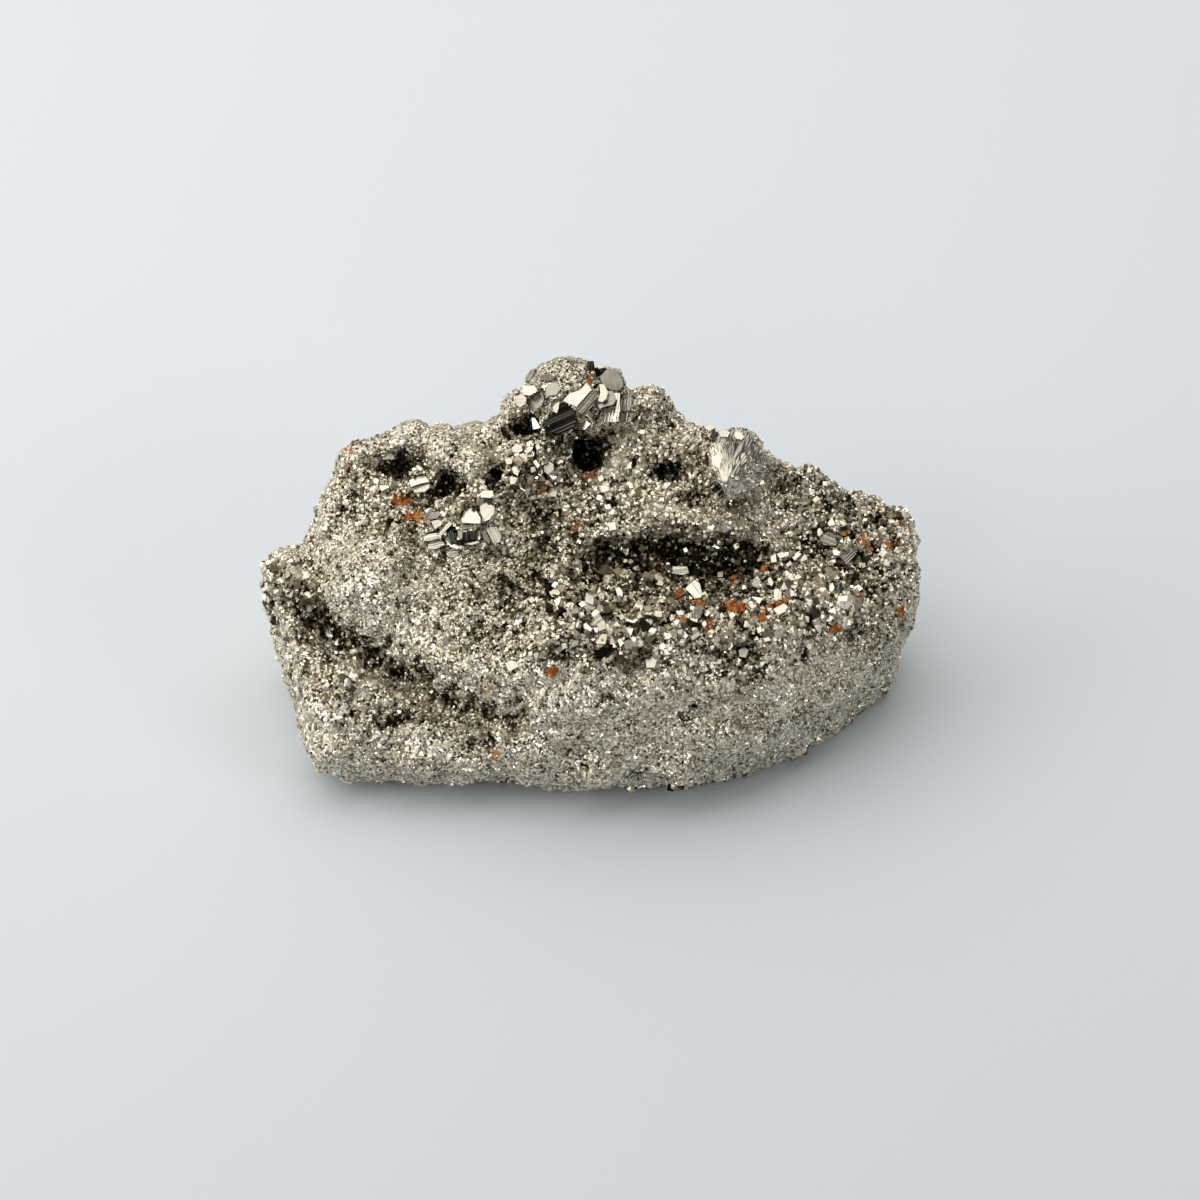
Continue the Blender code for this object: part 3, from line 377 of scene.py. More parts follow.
    ("mid_s", ((767, 579), (770, 576), (774, 582), (772, 587), (768, 584)), -16, 26, 0.6, 0.9),
    ("mid_t", ((772, 609), (784, 603), (788, 606), (785, 612), (778, 616)), -14, 26, 0.9, 0.95),
    ("mid_u", ((756, 628), (761, 625), (762, 632), (758, 634)), -13, 29, 0.5, 0.95),
    ("mid_v", ((762, 633), (770, 629), (773, 638), (764, 640)), 4, 10, 0.8, 0.72),
    ("mid_w", ((738, 650), (744, 646), (749, 650), (746, 658), (739, 657)), -8, 14, 0.8, 0.82),
    ("hollow_cream", ((770, 556), (776, 553), (777, 562), (771, 563)), -16, 24, 0.6, 0.9),
)
Facet = namedtuple("Facet", "name corners right up dull tone ribs ribs_at", defaults=(0, 0))

# The large crystal on the right, as points in px with a height in mm above the skin under its middle
RIGHT_CRYSTAL_AT = (735, 465)
RIGHT_CRYSTAL = (
    (716, 441, -1.4), (721, 432, -2.1), (730, 427, -2.5), (742, 427, -2.6), (752, 435, -2.6),
    (763, 453, -3.0), (765, 470, -2.6), (757, 483, -1.8), (742, 498, -0.7), (729, 501, 0.5),
    (721, 484, 1.5), (711, 467, 0.3), (709, 452, -0.9), (727, 446, -0.5), (728, 478, 2.2),
    (746, 449, -1.7), (749, 468, -0.6), (736, 438, -1.4),
)
# The layers of its back: how deep in mm and how wide beside its front
RIGHT_CRYSTAL_BACK = ((3.0, 0.96), (6.0, 0.62))
# How far its streaks, waves and specks stand out, and how far all of it lies back
RIGHT_CRYSTAL_RELIEF_MM = (0.20, 0.30, 0.22, 0.08)
# Where it is painted paler, as spots: painted light on its brighter faces
RIGHT_CRYSTAL_PAINTED_LIGHT = (
    (716, 457, 8, 12, 1.0), (724, 473, 5, 26, 0.8, -12), (739, 434, 8, 5, 0.6), (737, 456, 4, 11, 0.6, 20),
    (744, 480, 10, 12, 0.5, 30),
)

# How far a facet stands out of the skin, how deep its sides reach into it, and how far back they look for it
FACET_LIFT_MM = 0.25
ROOT_MM = 1.2
REACH_MM = 4.0
RIB_DEPTH_SHARE = 0.085
# A groove between two ribs: (share of the pitch, share of the depth)
GROOVE = ((0.0, 0.0), (0.24, -1.0), (0.34, -1.0), (0.58, 0.0))
# How far the skin gives way behind a facet and beside it, and how far grains keep away
ROOM_MM = 0.35
ROOM_PX = 3.5
CLEAR_PX = 1.0
CLEAR_MM = 4.0

# Smaller crystals on their own, each seen at a pixel. Its main face leans as above, spun about its normal:
# (name, seen at px, width, height and depth in mm, leans right, leans up, spun by, ribs, tone)
CRYSTALS = (
    ("upper_lone", (611, 528), (1.9, 1.6, 1.8), -12, 26, 12, 0, 0.9),
    ("lone_g", (514, 665), (2.6, 1.6, 1.4), -12, 26, 30, 6, 0.9),
    ("lone_m", (305, 577), (1.5, 1.5, 1.6), -8, 34, 20, 0, 1.0),
    ("lone_n", (311, 594), (1.6, 1.5, 1.6), -8, 36, 50, 0, 1.0),
    ("lone_o", (289, 589), (1.4, 1.4, 1.4), -12, 26, 30, 0, 0.9),
    ("lone_p", (342, 655), (1.2, 1.1, 1.4), -8, 34, 20, 0, 1.0),
)
# How deep they sink and how far grains keep away, as shares of their size
CRYSTAL_SINKS = 0.22
CRYSTAL_CLEARS = 0.62

# Grains scattered over the whole lump: (name, form, how many, size at its finest and coarsest in mm, and
# their share in the finest and in the coarsest ground)
GRAINS = (
    ("grains_fine", "cube", 15000, (0.24, 0.52), (1.0, 0.3)),
    ("grains_pointed", "octahedron", 16000, (0.32, 0.80), (0.7, 0.75)),
    ("grains_blocky", "cube", 8500, (0.36, 0.85), (0.35, 1.0)),
    ("grains_round", "cuboctahedron", 9500, (0.36, 0.90), (0.35, 1.0)),
    ("grains_pyritohedral", "pyritohedron", 5300, (0.46, 1.02), (0.15, 1.0)),
)
GRAIN_LIMITS_MM = (0.2, 1.7)
# The tones of grains in shade and of the others, and how far their corners stretch
SHADED_TONES = (0.22, 0.62)
CLEAR_TONES = (0.89, 1.03)
GRAIN_STRETCH = (0.75, 1.2)
# No grain lies lower than this share of its size above the floor
LOWEST_SHARE = 1.1
ON_FLOOR_MM = 0.25

# Colours as stops from 0 to 1: the metal's from the painted shade of its darkest crevice to its brightest
# face, the rust's and the sheet's from noise, and the room's from straight below to straight above
METAL_OF_GROUND = (
    (0.0, (0.022, 0.018, 0.009)), (0.3, (0.165, 0.141, 0.082)),
    (0.65, (0.61, 0.55, 0.425)), (1.0, (0.90, 0.84, 0.72)),
)
METAL_OF_CRYSTALS = (
    (0.0, (0.020, 0.019, 0.016)), (0.3, (0.135, 0.125, 0.100)),
    (0.65, (0.55, 0.51, 0.42)), (1.0, (0.90, 0.85, 0.74)),
)
RUST_COLOURS = ((0.3, (0.17, 0.045, 0.008)), (0.5, (0.44, 0.14, 0.026)), (0.7, (0.66, 0.28, 0.08)))
FLOOR_COLOURS = ((0.0, (0.625, 0.665, 0.69)), (1.0, (0.705, 0.745, 0.775)))
# Painted shade: the floor grows darker towards the camera between these places in metres
FLOOR_PAINTED_SHADE_FROM = (-0.14, 0.06)
ROOM_COLOURS = (
    (0.45, (0.16, 0.165, 0.17)), (0.60, (0.05, 0.052, 0.055)),
    (0.80, (0.10, 0.103, 0.11)), (1.0, (0.30, 0.305, 0.31)),
)

# The materials: (name, roughness at its finest and dullest, scale and strength of the bumps, kind)
MATERIALS = (
    ("pyrite_ground", (0.16, 0.36), 2600.0, 0.5, "ground"),
    ("pyrite_grains", (0.14, 0.34), 3000.0, 0.15, "grains"),
    ("pyrite_crystals", (0.06, 0.16), 1800.0, 0.16, "crystals"),
)
BUMP_HEIGHT = 0.1 * MM
RUST_SHINE = 0.15

# The lamps: (name, direction from the lump, distance and size in metres, watts, colour)
LAMPS = (
    ("key", (-0.30, 0.50, 0.81), 0.7, 1.5, 9.6, (1.0, 0.985, 0.955)),
    ("left", (-0.95, -0.15, 0.38), 0.8, 0.6, 2.6, (0.99, 0.99, 1.0)),
    ("right", (0.80, -0.45, 0.42), 0.8, 0.3, 0.9, (0.97, 0.985, 1.0)),
    ("front", (-0.25, -0.80, 0.55), 0.8, 0.25, 0.6, (1.0, 0.99, 0.97)),
)


def picture_px(points):
    """Where the camera sees these points, in px of the picture."""
    away = points - np.array(EYE)
    depth = away @ np.array(FORWARD)
    px = PICTURE_PX / 2 + FOCAL_PX * (away @ np.array(ACROSS)) / depth
    py = PICTURE_PX / 2 - FOCAL_PX * (away @ np.array(UPWARD)) / depth
    return px, py


def sight_line(spot_px):
    across = (spot_px[0] - PICTURE_PX / 2) / FOCAL_PX
    above = (PICTURE_PX / 2 - spot_px[1]) / FOCAL_PX
    return (FORWARD + ACROSS * across + UPWARD * above).normalized()


def surface_tree(*meshes):
    """All these meshes as one surface to aim at."""
    points, faces = [], []
    for mesh in meshes:
        start = len(points)
        points += [Vector(p) for p in mesh_points(mesh)]
        faces += [[start + i for i in face.vertices] for face in mesh.polygons]
    return BVHTree.FromPolygons(points, faces)


def seen_at(tree, spot_px):
    """The point of the surface that is seen at that pixel, or None."""
    return tree.ray_cast(EYE, sight_line(spot_px))[0]


def smooth_step(t):
    t = np.clip(t, 0, 1)
    return t * t * (3 - 2 * t)


def share_in(px, py, spots, softness=0.5):
    """How much of each point lies in these spots: the highest share times the spot's own value."""
    best = np.zeros(len(px))
    for x, y, half_width, half_height, value, *turned in spots:
        turn = math.radians(sum(turned))
        across = (px - x) * math.cos(turn) + (py - y) * math.sin(turn)
        down = -(px - x) * math.sin(turn) + (py - y) * math.cos(turn)
        far = np.sqrt((across / half_width) ** 2 + (down / half_height) ** 2)
        best = np.maximum(best, value * smooth_step((1 + softness - far) / (2 * softness)))
    return best


def noise_at(points, length_mm, shift=0.0):
    scale = 1 / (length_mm * MM)
    offset = Vector((shift, SEED, -shift))
    return np.array([noise.noise(Vector(p) * scale + offset) for p in points])


def mesh_points(mesh):
    points = np.empty(len(mesh.vertices) * 3, np.float32)
    mesh.vertices.foreach_get("co", points)
    return points.reshape(-1, 3).astype(float)


def mesh_normals(mesh):
    normals = np.empty(len(mesh.vertices) * 3, np.float32)
    mesh.vertex_normals.foreach_get("vector", normals)
    return normals.reshape(-1, 3).astype(float)


def set_points(mesh, points):
    mesh.vertices.foreach_set("co", points.astype(np.float32).ravel())
    mesh.update()


def set_values(mesh, **values):
    """Stores numbers for each point, which the material reads."""
    for name, numbers in values.items():
        attribute = mesh.attributes.new(name, "FLOAT", "POINT")
        attribute.data.foreach_set("value", numbers.astype(np.float32))


def mesh_of(name, bm):
    mesh = bpy.data.meshes.new(name)
    bm.to_mesh(mesh)
    bm.free()
    return mesh


def add_object(name, data):
    obj = bpy.data.objects.new(name, data)
    bpy.context.scene.collection.objects.link(obj)
    return obj


# The skin

def base_form(node):
    """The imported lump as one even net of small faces, with its large facets rounded off."""
    bm = bmesh.new()
    bm.from_mesh(node.data)
    bmesh.ops.remove_doubles(bm, verts=bm.verts, dist=0.01 * MM)
    skin = add_object("pyrite_skin", mesh_of("skin_start", bm))
    even = skin.modifiers.new("even net", "REMESH")
    even.mode = "VOXEL"
    even.voxel_size = SKIN_VOXEL
    soft = skin.modifiers.new("rounded facets", "SMOOTH")
    soft.factor = 0.5
    soft.iterations = SKIN_SMOOTHING
    graph = bpy.context.evaluated_depsgraph_get()
    skin.data = bpy.data.meshes.new_from_object(skin.evaluated_get(graph))
    skin.modifiers.clear()
    return skin


def neighbour_mean(mesh, values, rounds):
    """Each point's value averaged with its neighbours' that many times."""
    ends = np.empty(len(mesh.edges) * 2, np.int32)
    mesh.edges.foreach_get("vertices", ends)
    a, b = ends.reshape(-1, 2).T
    count = np.bincount(np.concatenate([a, b]), minlength=len(values)).astype(float)[:, None]
    for _ in range(rounds):
        total = np.empty_like(values)
        for axis in range(values.shape[1]):
            column = values[:, axis]
            total[:, axis] = np.bincount(a, column[b], len(values)) + np.bincount(b, column[a], len(values))
        values = total / np.maximum(count, 1)
    return values


def lit_side(points, normals):
    """1 where the surface faces the camera, falling to 0 where it turns away."""
    towards = np.array(EYE) - points
    towards /= np.linalg.norm(towards, axis=1)[:, None]
    return smooth_step((np.einsum("ij,ij->i", normals, towards) + 0.1) / 0.3)


def fields(points, normals):
    """What each point of the lump is like: from the spots where the camera sees it, or else from noise."""
    px, py = picture_px(points)
    shown = lit_side(points, normals)
    wobble = noise_at(points, *WOBBLE)
    sway = noise_at(points, *SWAY)

    patches = smooth_step(0.5 + 1.6 * noise_at(points, *HIDDEN_COARSE))
    coarse = shown * share_in(px + LARGE_EDGES_PX * sway, py - LARGE_EDGES_PX * sway, COARSE, 0.8)
    coarse = coarse + (1 - shown) * patches * 0.8
    coarse = np.clip(coarse + (0.25 + coarse) * 0.5 * (wobble + 0.5 * sway), 0, 1)
    calm = shown * share_in(px, py, CALM, 0.3)
    coarse *= 1 - 0.85 * calm

    # dark: deep shade between the grains, which sinks the skin and is painted as shade; from the DARK spots
    # where the camera sees the skin, from noise on the hidden sides, and in crevices from noise
    hidden_dark = smooth_step((noise_at(points, *HIDDEN_DARK) - 0.25) * 3) * patches
    dark = shown * share_in(px + LARGE_EDGES_PX * wobble, py - LARGE_EDGES_PX * wobble, DARK)
    dark = dark + (1 - shown) * hidden_dark
    crevices = smooth_step((noise_at(points, *CREVICES) - 0.30 + 0.16 * coarse) * 5)
    dark = np.maximum(dark, crevices * (0.25 + 0.7 * coarse) * (1 - calm))

    rust_spots = [(x, y, RUST_SPREAD * w, RUST_SPREAD * h, value) for x, y, w, h, value in RUST]
    rust = shown * share_in(px - SMALL_EDGES_PX * wobble, py + SMALL_EDGES_PX * wobble, rust_spots, 0.6)
    rust_patches = smooth_step(0.3 + 2 * noise_at(points, *HIDDEN_RUST_PATCHES))
    hidden_rust = smooth_step((noise_at(points, *HIDDEN_RUST) - 0.40) * 4) * rust_patches

    big_patches = smooth_step(0.5 + 1.6 * noise_at(points, *HIDDEN_BIG))
    return {
        "coarse": coarse,
        "calm": calm,
        "dark": dark,
        "rust": np.maximum(rust, (1 - shown) * 0.8 * hidden_rust),
        "raised": shown * share_in(px + SMALL_EDGES_PX * wobble, py - SMALL_EDGES_PX * wobble, SWELLS, 0.9),
        "big": shown * share_in(px, py, BIG, 0.8) + (1 - shown) * big_patches,
        # shade: the painted light and painted shade of the spots above
        "shade": shown * (PAINTED_LIGHT_GAIN * share_in(px, py, PAINTED_LIGHT_SPOTS, 0.9) - PAINTED_SHADE_LOSS * share_in(px, py, PAINTED_SHADE_SPOTS, 0.9)),
    }


def round_ball(mesh):
    """Draws the skin of the ball onto a sphere wherever it lies close to one."""
    points = mesh_points(mesh)
    centre = np.array(seen_at(surface_tree(mesh), BALL_AT) + sight_line(BALL_AT) * BALL_RADIUS_MM * MM)
    away = points - centre
    distance = np.linalg.norm(away, axis=1)
    near, far = BALL_BLEND_MM
    gap = np.abs(distance / MM - BALL_RADIUS_MM)
    follows = smooth_step((far - gap) / (far - near)) * smooth_step((away[:, 2] / MM + 2.5) / 4.0)
    pull = follows * (BALL_RADIUS_MM * MM - distance)
    set_points(mesh, points + away / distance[:, None] * pull[:, None])


def make_skin(node):
    """The grainy skin: the lump's form with swells, lumps and small pits. Returns it and its fields."""
    skin = base_form(node)
    mesh = skin.data
    round_ball(mesh)
    points, normals = mesh_points(mesh), mesh_normals(mesh)
    ground = fields(points, normals)
    coarse, dark = ground["coarse"], ground["dark"]

    swells = noise_at(points, *BROAD_SWELLS) * SWELL_MM
    lumps = noise_at(points, *LUMPS) * LUMP_MM + noise_at(points, *SMALL_LUMPS) * SMALL_LUMP_MM
    cells = np.array([noise.voronoi(Vector(p) / (SKIN_CELL_MM * MM))[0][0] for p in points])
    grain = (0.45 - cells) * GRAIN_MM
    runs = np.array(STREAKS_RUN) / np.linalg.norm(STREAKS_RUN)
    squeezed = points - (points @ runs)[:, None] * runs * 0.85
    streaks = noise_at(squeezed, *STREAKS) * STREAK_MM * (1 - coarse)

    push = ground["raised"] + streaks + swells * (1 - ground["calm"]) + lumps * (0.35 + 0.85 * coarse)
    push += grain * (0.15 + 1.0 * coarse)
    push -= dark * (0.45 + 0.5 * coarse)
    off_floor = smooth_step((points[:, 2] / MM - 0.2) / 1.0)
    moved = points + normals * (push * off_floor * MM)[:, None]
    moved[:, 2] = np.maximum(moved[:, 2], 0)
    set_points(mesh, moved)
    smoothed = neighbour_mean(mesh, moved, HOLLOW_SMOOTHING)
    ground["hollow"] = np.einsum("ij,ij->i", smoothed - moved, normals) / MM
    return skin, ground


def make_room(skin, facets, planes):
    """Pushes the skin back where it would cover a facet."""
    points, normals = mesh_points(skin.data), mesh_normals(skin.data)
    px, py = picture_px(points)
    shown = lit_side(points, normals) > 0.3
    away = points - np.array(EYE)
    distance = np.linalg.norm(away, axis=1)
    lines = away / distance[:, None]
    for facet, (corners, normal) in zip(facets, planes):
        covering = inside(px, py, widened(facet.corners, ROOM_PX)) & shown
        lies_at = (np.array(corners[0] - EYE) @ np.array(normal)) / (lines @ np.array(normal))
        covering &= (distance < lies_at + ROOM_MM * MM) & (distance > lies_at - 5 * MM)
        distance = np.where(covering, lies_at + ROOM_MM * MM, distance)
    set_points(skin.data, np.array(EYE) + lines * distance[:, None])


def dress_skin(skin, ground):
    """Stores what the skin's material reads."""
    # The tone is painted darker as shade in the gaps of coarse ground and in hollows, a little darker where
    # the skin is calm, and takes the painted light and shade of the spots; dark is stored for the material's
    # painted shade
    tone = 1.01 - 0.60 * ground["coarse"] - 0.4 * np.clip(ground["hollow"], 0, 0.7)
    tone = tone - 0.15 * ground["calm"] + ground["shade"]
    set_values(skin.data, tone=np.clip(tone, 0, 1), dark=0.85 * ground["dark"], rust=ground["rust"])


# Grains

def hull_of(corners):
    """The closed form over these corners, its faces turned outwards and its widest face towards local Z."""
    bm = bmesh.new()
    verts = [bm.verts.new(c) for c in corners]
    bmesh.ops.convex_hull(bm, input=verts)
    bmesh.ops.dissolve_limit(bm, angle_limit=math.radians(1), verts=bm.verts, edges=bm.edges)
    bmesh.ops.recalc_face_normals(bm, faces=bm.faces)
    bm.verts.index_update()
    widest = max(bm.faces, key=lambda face: round(face.calc_area(), 6))
    upright = widest.normal.rotation_difference(Vector((0, 0, 1))).to_matrix()
    corners = np.array([(upright @ v.co)[:] for v in bm.verts])
    faces = [[v.index for v in face.verts] for face in bm.faces]
    bm.free()
    return corners, faces


def signs(count):
    return np.array(np.meshgrid(*[(-1, 1)] * count)).reshape(count, -1).T


def form_corners(kind):
    """The corners of a form that is about 1 across."""
    if kind == "cube":
        return signs(3) * 0.5
    if kind == "octahedron":
        return np.vstack([np.eye(3), -np.eye(3)]) * 0.68
    if kind == "cuboctahedron":
        pairs = signs(2) * 0.5
        return np.vstack([np.insert(pairs, axis, 0, axis=1) for axis in range(3)]) * 1.15
    half, roof = 0.36, 0.5
    made = list(signs(3) * half)
    for a, b in signs(2):
        made += [(0, a * half / 2, b * roof), (a * half / 2, b * roof, 0), (b * roof, 0, a * half / 2)]
    return np.array(made)


def joined_mesh(name, corners, faces, centres, turns, sizes):
    """One mesh of many copies of a form, each with its own place, turn and size."""
    count, many = len(corners), len(centres)
    placed = np.einsum("nij,nvj->nvi", turns, corners[None] * sizes[:, None, :]) + centres[:, None, :]
    flat = np.array([i for face in faces for i in face])
    lengths = np.array([len(face) for face in faces])
    loops = (flat[None] + np.arange(many)[:, None] * count).ravel()
    totals = np.tile(lengths, many)
    starts = np.concatenate([[0], np.cumsum(totals)[:-1]])
    mesh = bpy.data.meshes.new(name)
    mesh.vertices.add(many * count)
    mesh.vertices.foreach_set("co", placed.astype(np.float32).ravel())
    mesh.loops.add(len(loops))
    mesh.loops.foreach_set("vertex_index", loops.astype(np.int32))
    mesh.polygons.add(len(totals))
    mesh.polygons.foreach_set("loop_start", starts.astype(np.int32))
    mesh.update(calc_edges=True)
    mesh.shade_flat()
    return mesh


def turns_on(rng, normals, unrest):
    """Turns that lay local Z along the normals, spun at random and tipped more where there is more unrest."""
    count = len(normals)
    spin = rng.uniform(0, 2 * math.pi, count)
    tip = np.abs(rng.normal(0, 1, count)) * unrest
    about = rng.uniform(0, 2 * math.pi, count)
    side = np.cross(normals, np.where(np.abs(normals[:, 2:]) < 0.9, (0, 0, 1), (1, 0, 0)))
    side /= np.linalg.norm(side, axis=1)[:, None]
    ahead = np.cross(normals, side)
    base = np.stack([side, ahead, normals], axis=2)
    axis = np.stack([np.cos(about), np.sin(about), np.zeros(count)], axis=1)
    return base @ turns_about(axis, tip) @ turns_about(np.tile((0.0, 0.0, 1.0), (count, 1)), spin)


def turns_about(axes, angles):
    w = np.cos(angles / 2)
    x, y, z = (axes * np.sin(angles / 2)[:, None]).T
    return np.stack([
        1 - 2 * (y * y + z * z), 2 * (x * y - z * w), 2 * (x * z + y * w),
        2 * (x * y + z * w), 1 - 2 * (x * x + z * z), 2 * (y * z - x * w),
        2 * (x * z - y * w), 2 * (y * z + x * w), 1 - 2 * (x * x + y * y),
    ], axis=1).reshape(-1, 3, 3)


def triangle_table(mesh):
    mesh.calc_loop_triangles()
    corners = np.empty(len(mesh.loop_triangles) * 3, np.int32)
    mesh.loop_triangles.foreach_get("vertices", corners)
    return corners.reshape(-1, 3)


def scatter(rng, points, triangles, weights, count):
    """Random spots on the triangles, more where the weights are higher, and a corner's index for each."""
    a, b, c = (points[triangles[:, i]] for i in range(3))
    areas = np.linalg.norm(np.cross(b - a, c - a), axis=1) / 2
    chance = areas * weights[triangles].mean(axis=1)
    picked = rng.choice(len(triangles), size=count, p=chance / chance.sum())
    u, v = rng.random((2, count))
    over = u + v > 1
    u[over], v[over] = 1 - u[over], 1 - v[over]
    spots = a[picked] + u[:, None] * (b - a)[picked] + v[:, None] * (c - a)[picked]
    return spots, triangles[picked, 0]


def inside(px, py, corners):
    """Which of the spots lie inside the outline."""
    within = np.zeros(len(px), bool)
    for (x0, y0), (x1, y1) in zip(corners, corners[1:] + corners[:1]):
        crosses = (y0 > py) != (y1 > py)
        if y0 != y1:
            within ^= crosses & (px < (x1 - x0) * (py - y0) / (y1 - y0) + x0)
    return within


def clear_of(spots, keep_out, outlines):
    """Which of the spots are neither near a crystal nor in front of a facet."""
    clear = np.ones(len(spots), bool)
    for centre, reach in keep_out:
        clear &= np.linalg.norm(spots - centre, axis=1) > reach
    px, py = picture_px(spots)
    nearness = np.linalg.norm(spots - np.array(EYE), axis=1)
    for corners, depth in outlines:
        clear &= ~(inside(px, py, corners) & (np.abs(nearness - depth) < CLEAR_MM * MM))
    return clear


def make_grains(skin, ground, keep_out, outlines):
    """The scattered grains, one piece for each row of GRAINS."""
    points, normals = mesh_points(skin.data), mesh_normals(skin.data)
    triangles = triangle_table(skin.data)
    rng = np.random.default_rng(SEED)
    on_floor = points[:, 2] < ON_FLOOR_MM * MM
    smallest, largest = GRAIN_LIMITS_MM
    made = []
    for name, kind, count, (finest, coarsest), (share_fine, share_coarse) in GRAINS:
        crowd = share_fine + (share_coarse - share_fine) * ground["coarse"]
        weights = np.where(on_floor, 0, crowd) * (1 - 0.5 * ground["dark"])
        spots, near = scatter(rng, points, triangles, weights, count)
        here = {key: value[near] for key, value in ground.items()}
        rough = here["coarse"]
        swell = rough * (0.45 + 0.55 * here["big"])
        size = (finest + (coarsest - finest) * swell) * MM * np.exp(rng.normal(0, 0.16 + 0.2 * rough, count))
        size = np.clip(size, smallest * MM, largest * MM)
        sunk = rng.uniform(-0.36, -0.10, count) + rough * rng.uniform(0.05, 0.42, count)
        centres = spots + normals[near] * (size * sunk)[:, None]
        keep = np.flatnonzero(clear_of(spots, keep_out, outlines) & (centres[:, 2] > size * LOWEST_SHARE))

        here = {key: value[keep] for key, value in here.items()}
        rough, many = here["coarse"], len(keep)
        corners, faces = hull_of(form_corners(kind))
        stretch = rng.uniform(*GRAIN_STRETCH, (many, 3))
        turns = turns_on(rng, normals[near[keep]], 0.30 + 1.2 * rough)
        mesh = joined_mesh(name, corners, faces, centres[keep], turns, size[keep, None] * stretch)
        shaded = rng.random(many) < 0.11 + 0.14 * rough + 0.35 * here["dark"]
        tone = np.where(shaded, rng.uniform(*SHADED_TONES, many), rng.uniform(*CLEAR_TONES, many))
        # Painted shade darkens grains in hollows and in deep shade; the spots add their painted light and
        # shade, and calm ground is a little darker
        tone -= 0.4 * np.clip(here["hollow"], 0, 1) + 0.12 * here["dark"]
        tone += here["shade"] - 0.2 * here["calm"]
        dull = 1.0 - 1.1 * rough + rng.uniform(-0.3, 0.3, many)
        rust = np.where(rng.random(many) < 0.8, here["rust"], 0)
        each = len(corners)
        for key, values in (("tone", np.clip(tone, 0, 1)), ("dull", np.clip(dull, 0, 1)), ("rust", rust)):
            set_values(mesh, **{key: np.repeat(values, each)})
        made.append(add_object(name, mesh))
    return made


# Crystals

def leaning(right, up, spin=0):
    """A turn that takes local Z from the line of sight by these angles, after a spin about it."""
    base = Matrix((ACROSS, UPWARD, -FORWARD)).transposed()
    lean = Matrix.Rotation(math.radians(right), 3, "Y") @ Matrix.Rotation(-math.radians(up), 3, "X")
    return base @ lean @ Matrix.Rotation(math.radians(spin), 3, "Z")


def cut_cube(bm, size):
    """A block with narrow flats along its edges."""
    made = bmesh.ops.create_cube(bm, size=1.0)["verts"]
    bmesh.ops.scale(bm, verts=made, vec=size)
    edges = list({e for v in made for e in v.link_edges})
    bmesh.ops.bevel(bm, geom=edges, offset=min(size) * 0.07, segments=1, affect="EDGES")


def ribbed_block(bm, size, ribs):
    """A block with slanting shoulders, whose top carries fine ribs that run along Y."""
    half_x, half_y, half_z = (s / 2 for s in size)
    top = half_x * 0.86
    depth = min(size) * 0.035
    pitch = 2 * top / (ribs + 0.5)
    outline = [(-half_x, -half_z), (half_x, -half_z), (half_x, half_z * 0.2), (half_x, half_z * 0.62)]
    outline.append((top, half_z))
    for i in range(ribs):
        x = top - (i + 0.25 + 0.3 * math.sin(i * 2.3)) * pitch
        outline += [(x, half_z), (x - 0.30 * pitch, half_z - depth * (1 + 0.6 * math.sin(i * 1.7)))]
    outline += [(-top, half_z), (-half_x, half_z * 0.62)]
    front = [bm.verts.new((x, -half_y, z)) for x, z in outline]
    back = [bm.verts.new((x, half_y, z)) for x, z in outline]
    bm.faces.new(front)
    bm.faces.new(reversed(back))
    for i in range(len(outline)):
        j = (i + 1) % len(outline)
        bm.faces.new((front[j], front[i], back[i], back[j]))


def camera_depth(tree, spot_px):
    """How far along the line of sight the surface lies, or None where the line misses it."""
    hit = seen_at(tree, spot_px)
    return None if hit is None else (hit - EYE).length


def cut_ribs(bm, face, normal, across, count):
    """Cuts shallow grooves into the face, one after another that way."""
    reach = [v.co.dot(across) for v in face.verts]
    low, high = min(reach), max(reach)
    pitch = (high - low) / (count + 0.5)
    lines, heights = [low - pitch], [0.0]
    for i in range(count):
        start = low + pitch * (i + 0.3 + 0.2 * math.sin(2.3 * i + count))
        drop = pitch * RIB_DEPTH_SHARE * (1 + 0.4 * math.sin(1.9 * i + 1.0))
        for share, height in GROOVE:
            lines.append(start + share * pitch)
            heights.append(height * drop)
    lines.append(high + pitch)
    heights.append(0.0)
    pieces = [face]
    for line in lines[1:-1]:
        cut = []
        for part in pieces:
            whole = [part, *part.edges, *part.verts]
            at = across * line
            made = bmesh.ops.bisect_plane(bm, geom=whole, dist=1e-7, plane_co=at, plane_no=across)
            cut += [g for g in made["geom"] if isinstance(g, bmesh.types.BMFace)]
        pieces = [part for part in set(cut) if part.is_valid]
    for vert in {v for part in pieces for v in part.verts}:
        height = float(np.interp(vert.co.dot(across), lines, heights))
        vert.co += normal * height


def facet_plane(tree, facet):
    """Where a facet with that outline and lean lies: its corners and its normal."""
    middle_px = [sum(c[i] for c in facet.corners) / len(facet.corners) for i in (0, 1)]
    point = seen_at(tree, middle_px)
    while point is None:
        middle_px[1] += 1.0
        point = seen_at(tree, middle_px)
    normal = leaning(facet.right, facet.up) @ Vector((0, 0, 1))
    front, gaps = [], []
    for spot in facet.corners:
        line = sight_line(spot)
        away = (point - EYE).dot(normal) / line.dot(normal)
        behind = camera_depth(tree, spot)
        front.append(EYE + line * away)
        gaps.append((behind if behind is not None else (point - EYE).length) - away)
    gaps = np.clip(gaps, -3 * MM, 3 * MM)
    shift = float(np.clip(FACET_LIFT_MM * MM - np.median(gaps), -1.0 * MM, 2.0 * MM))
    corners = [c - (point - EYE).normalized() * shift for c in front]
    return corners, normal


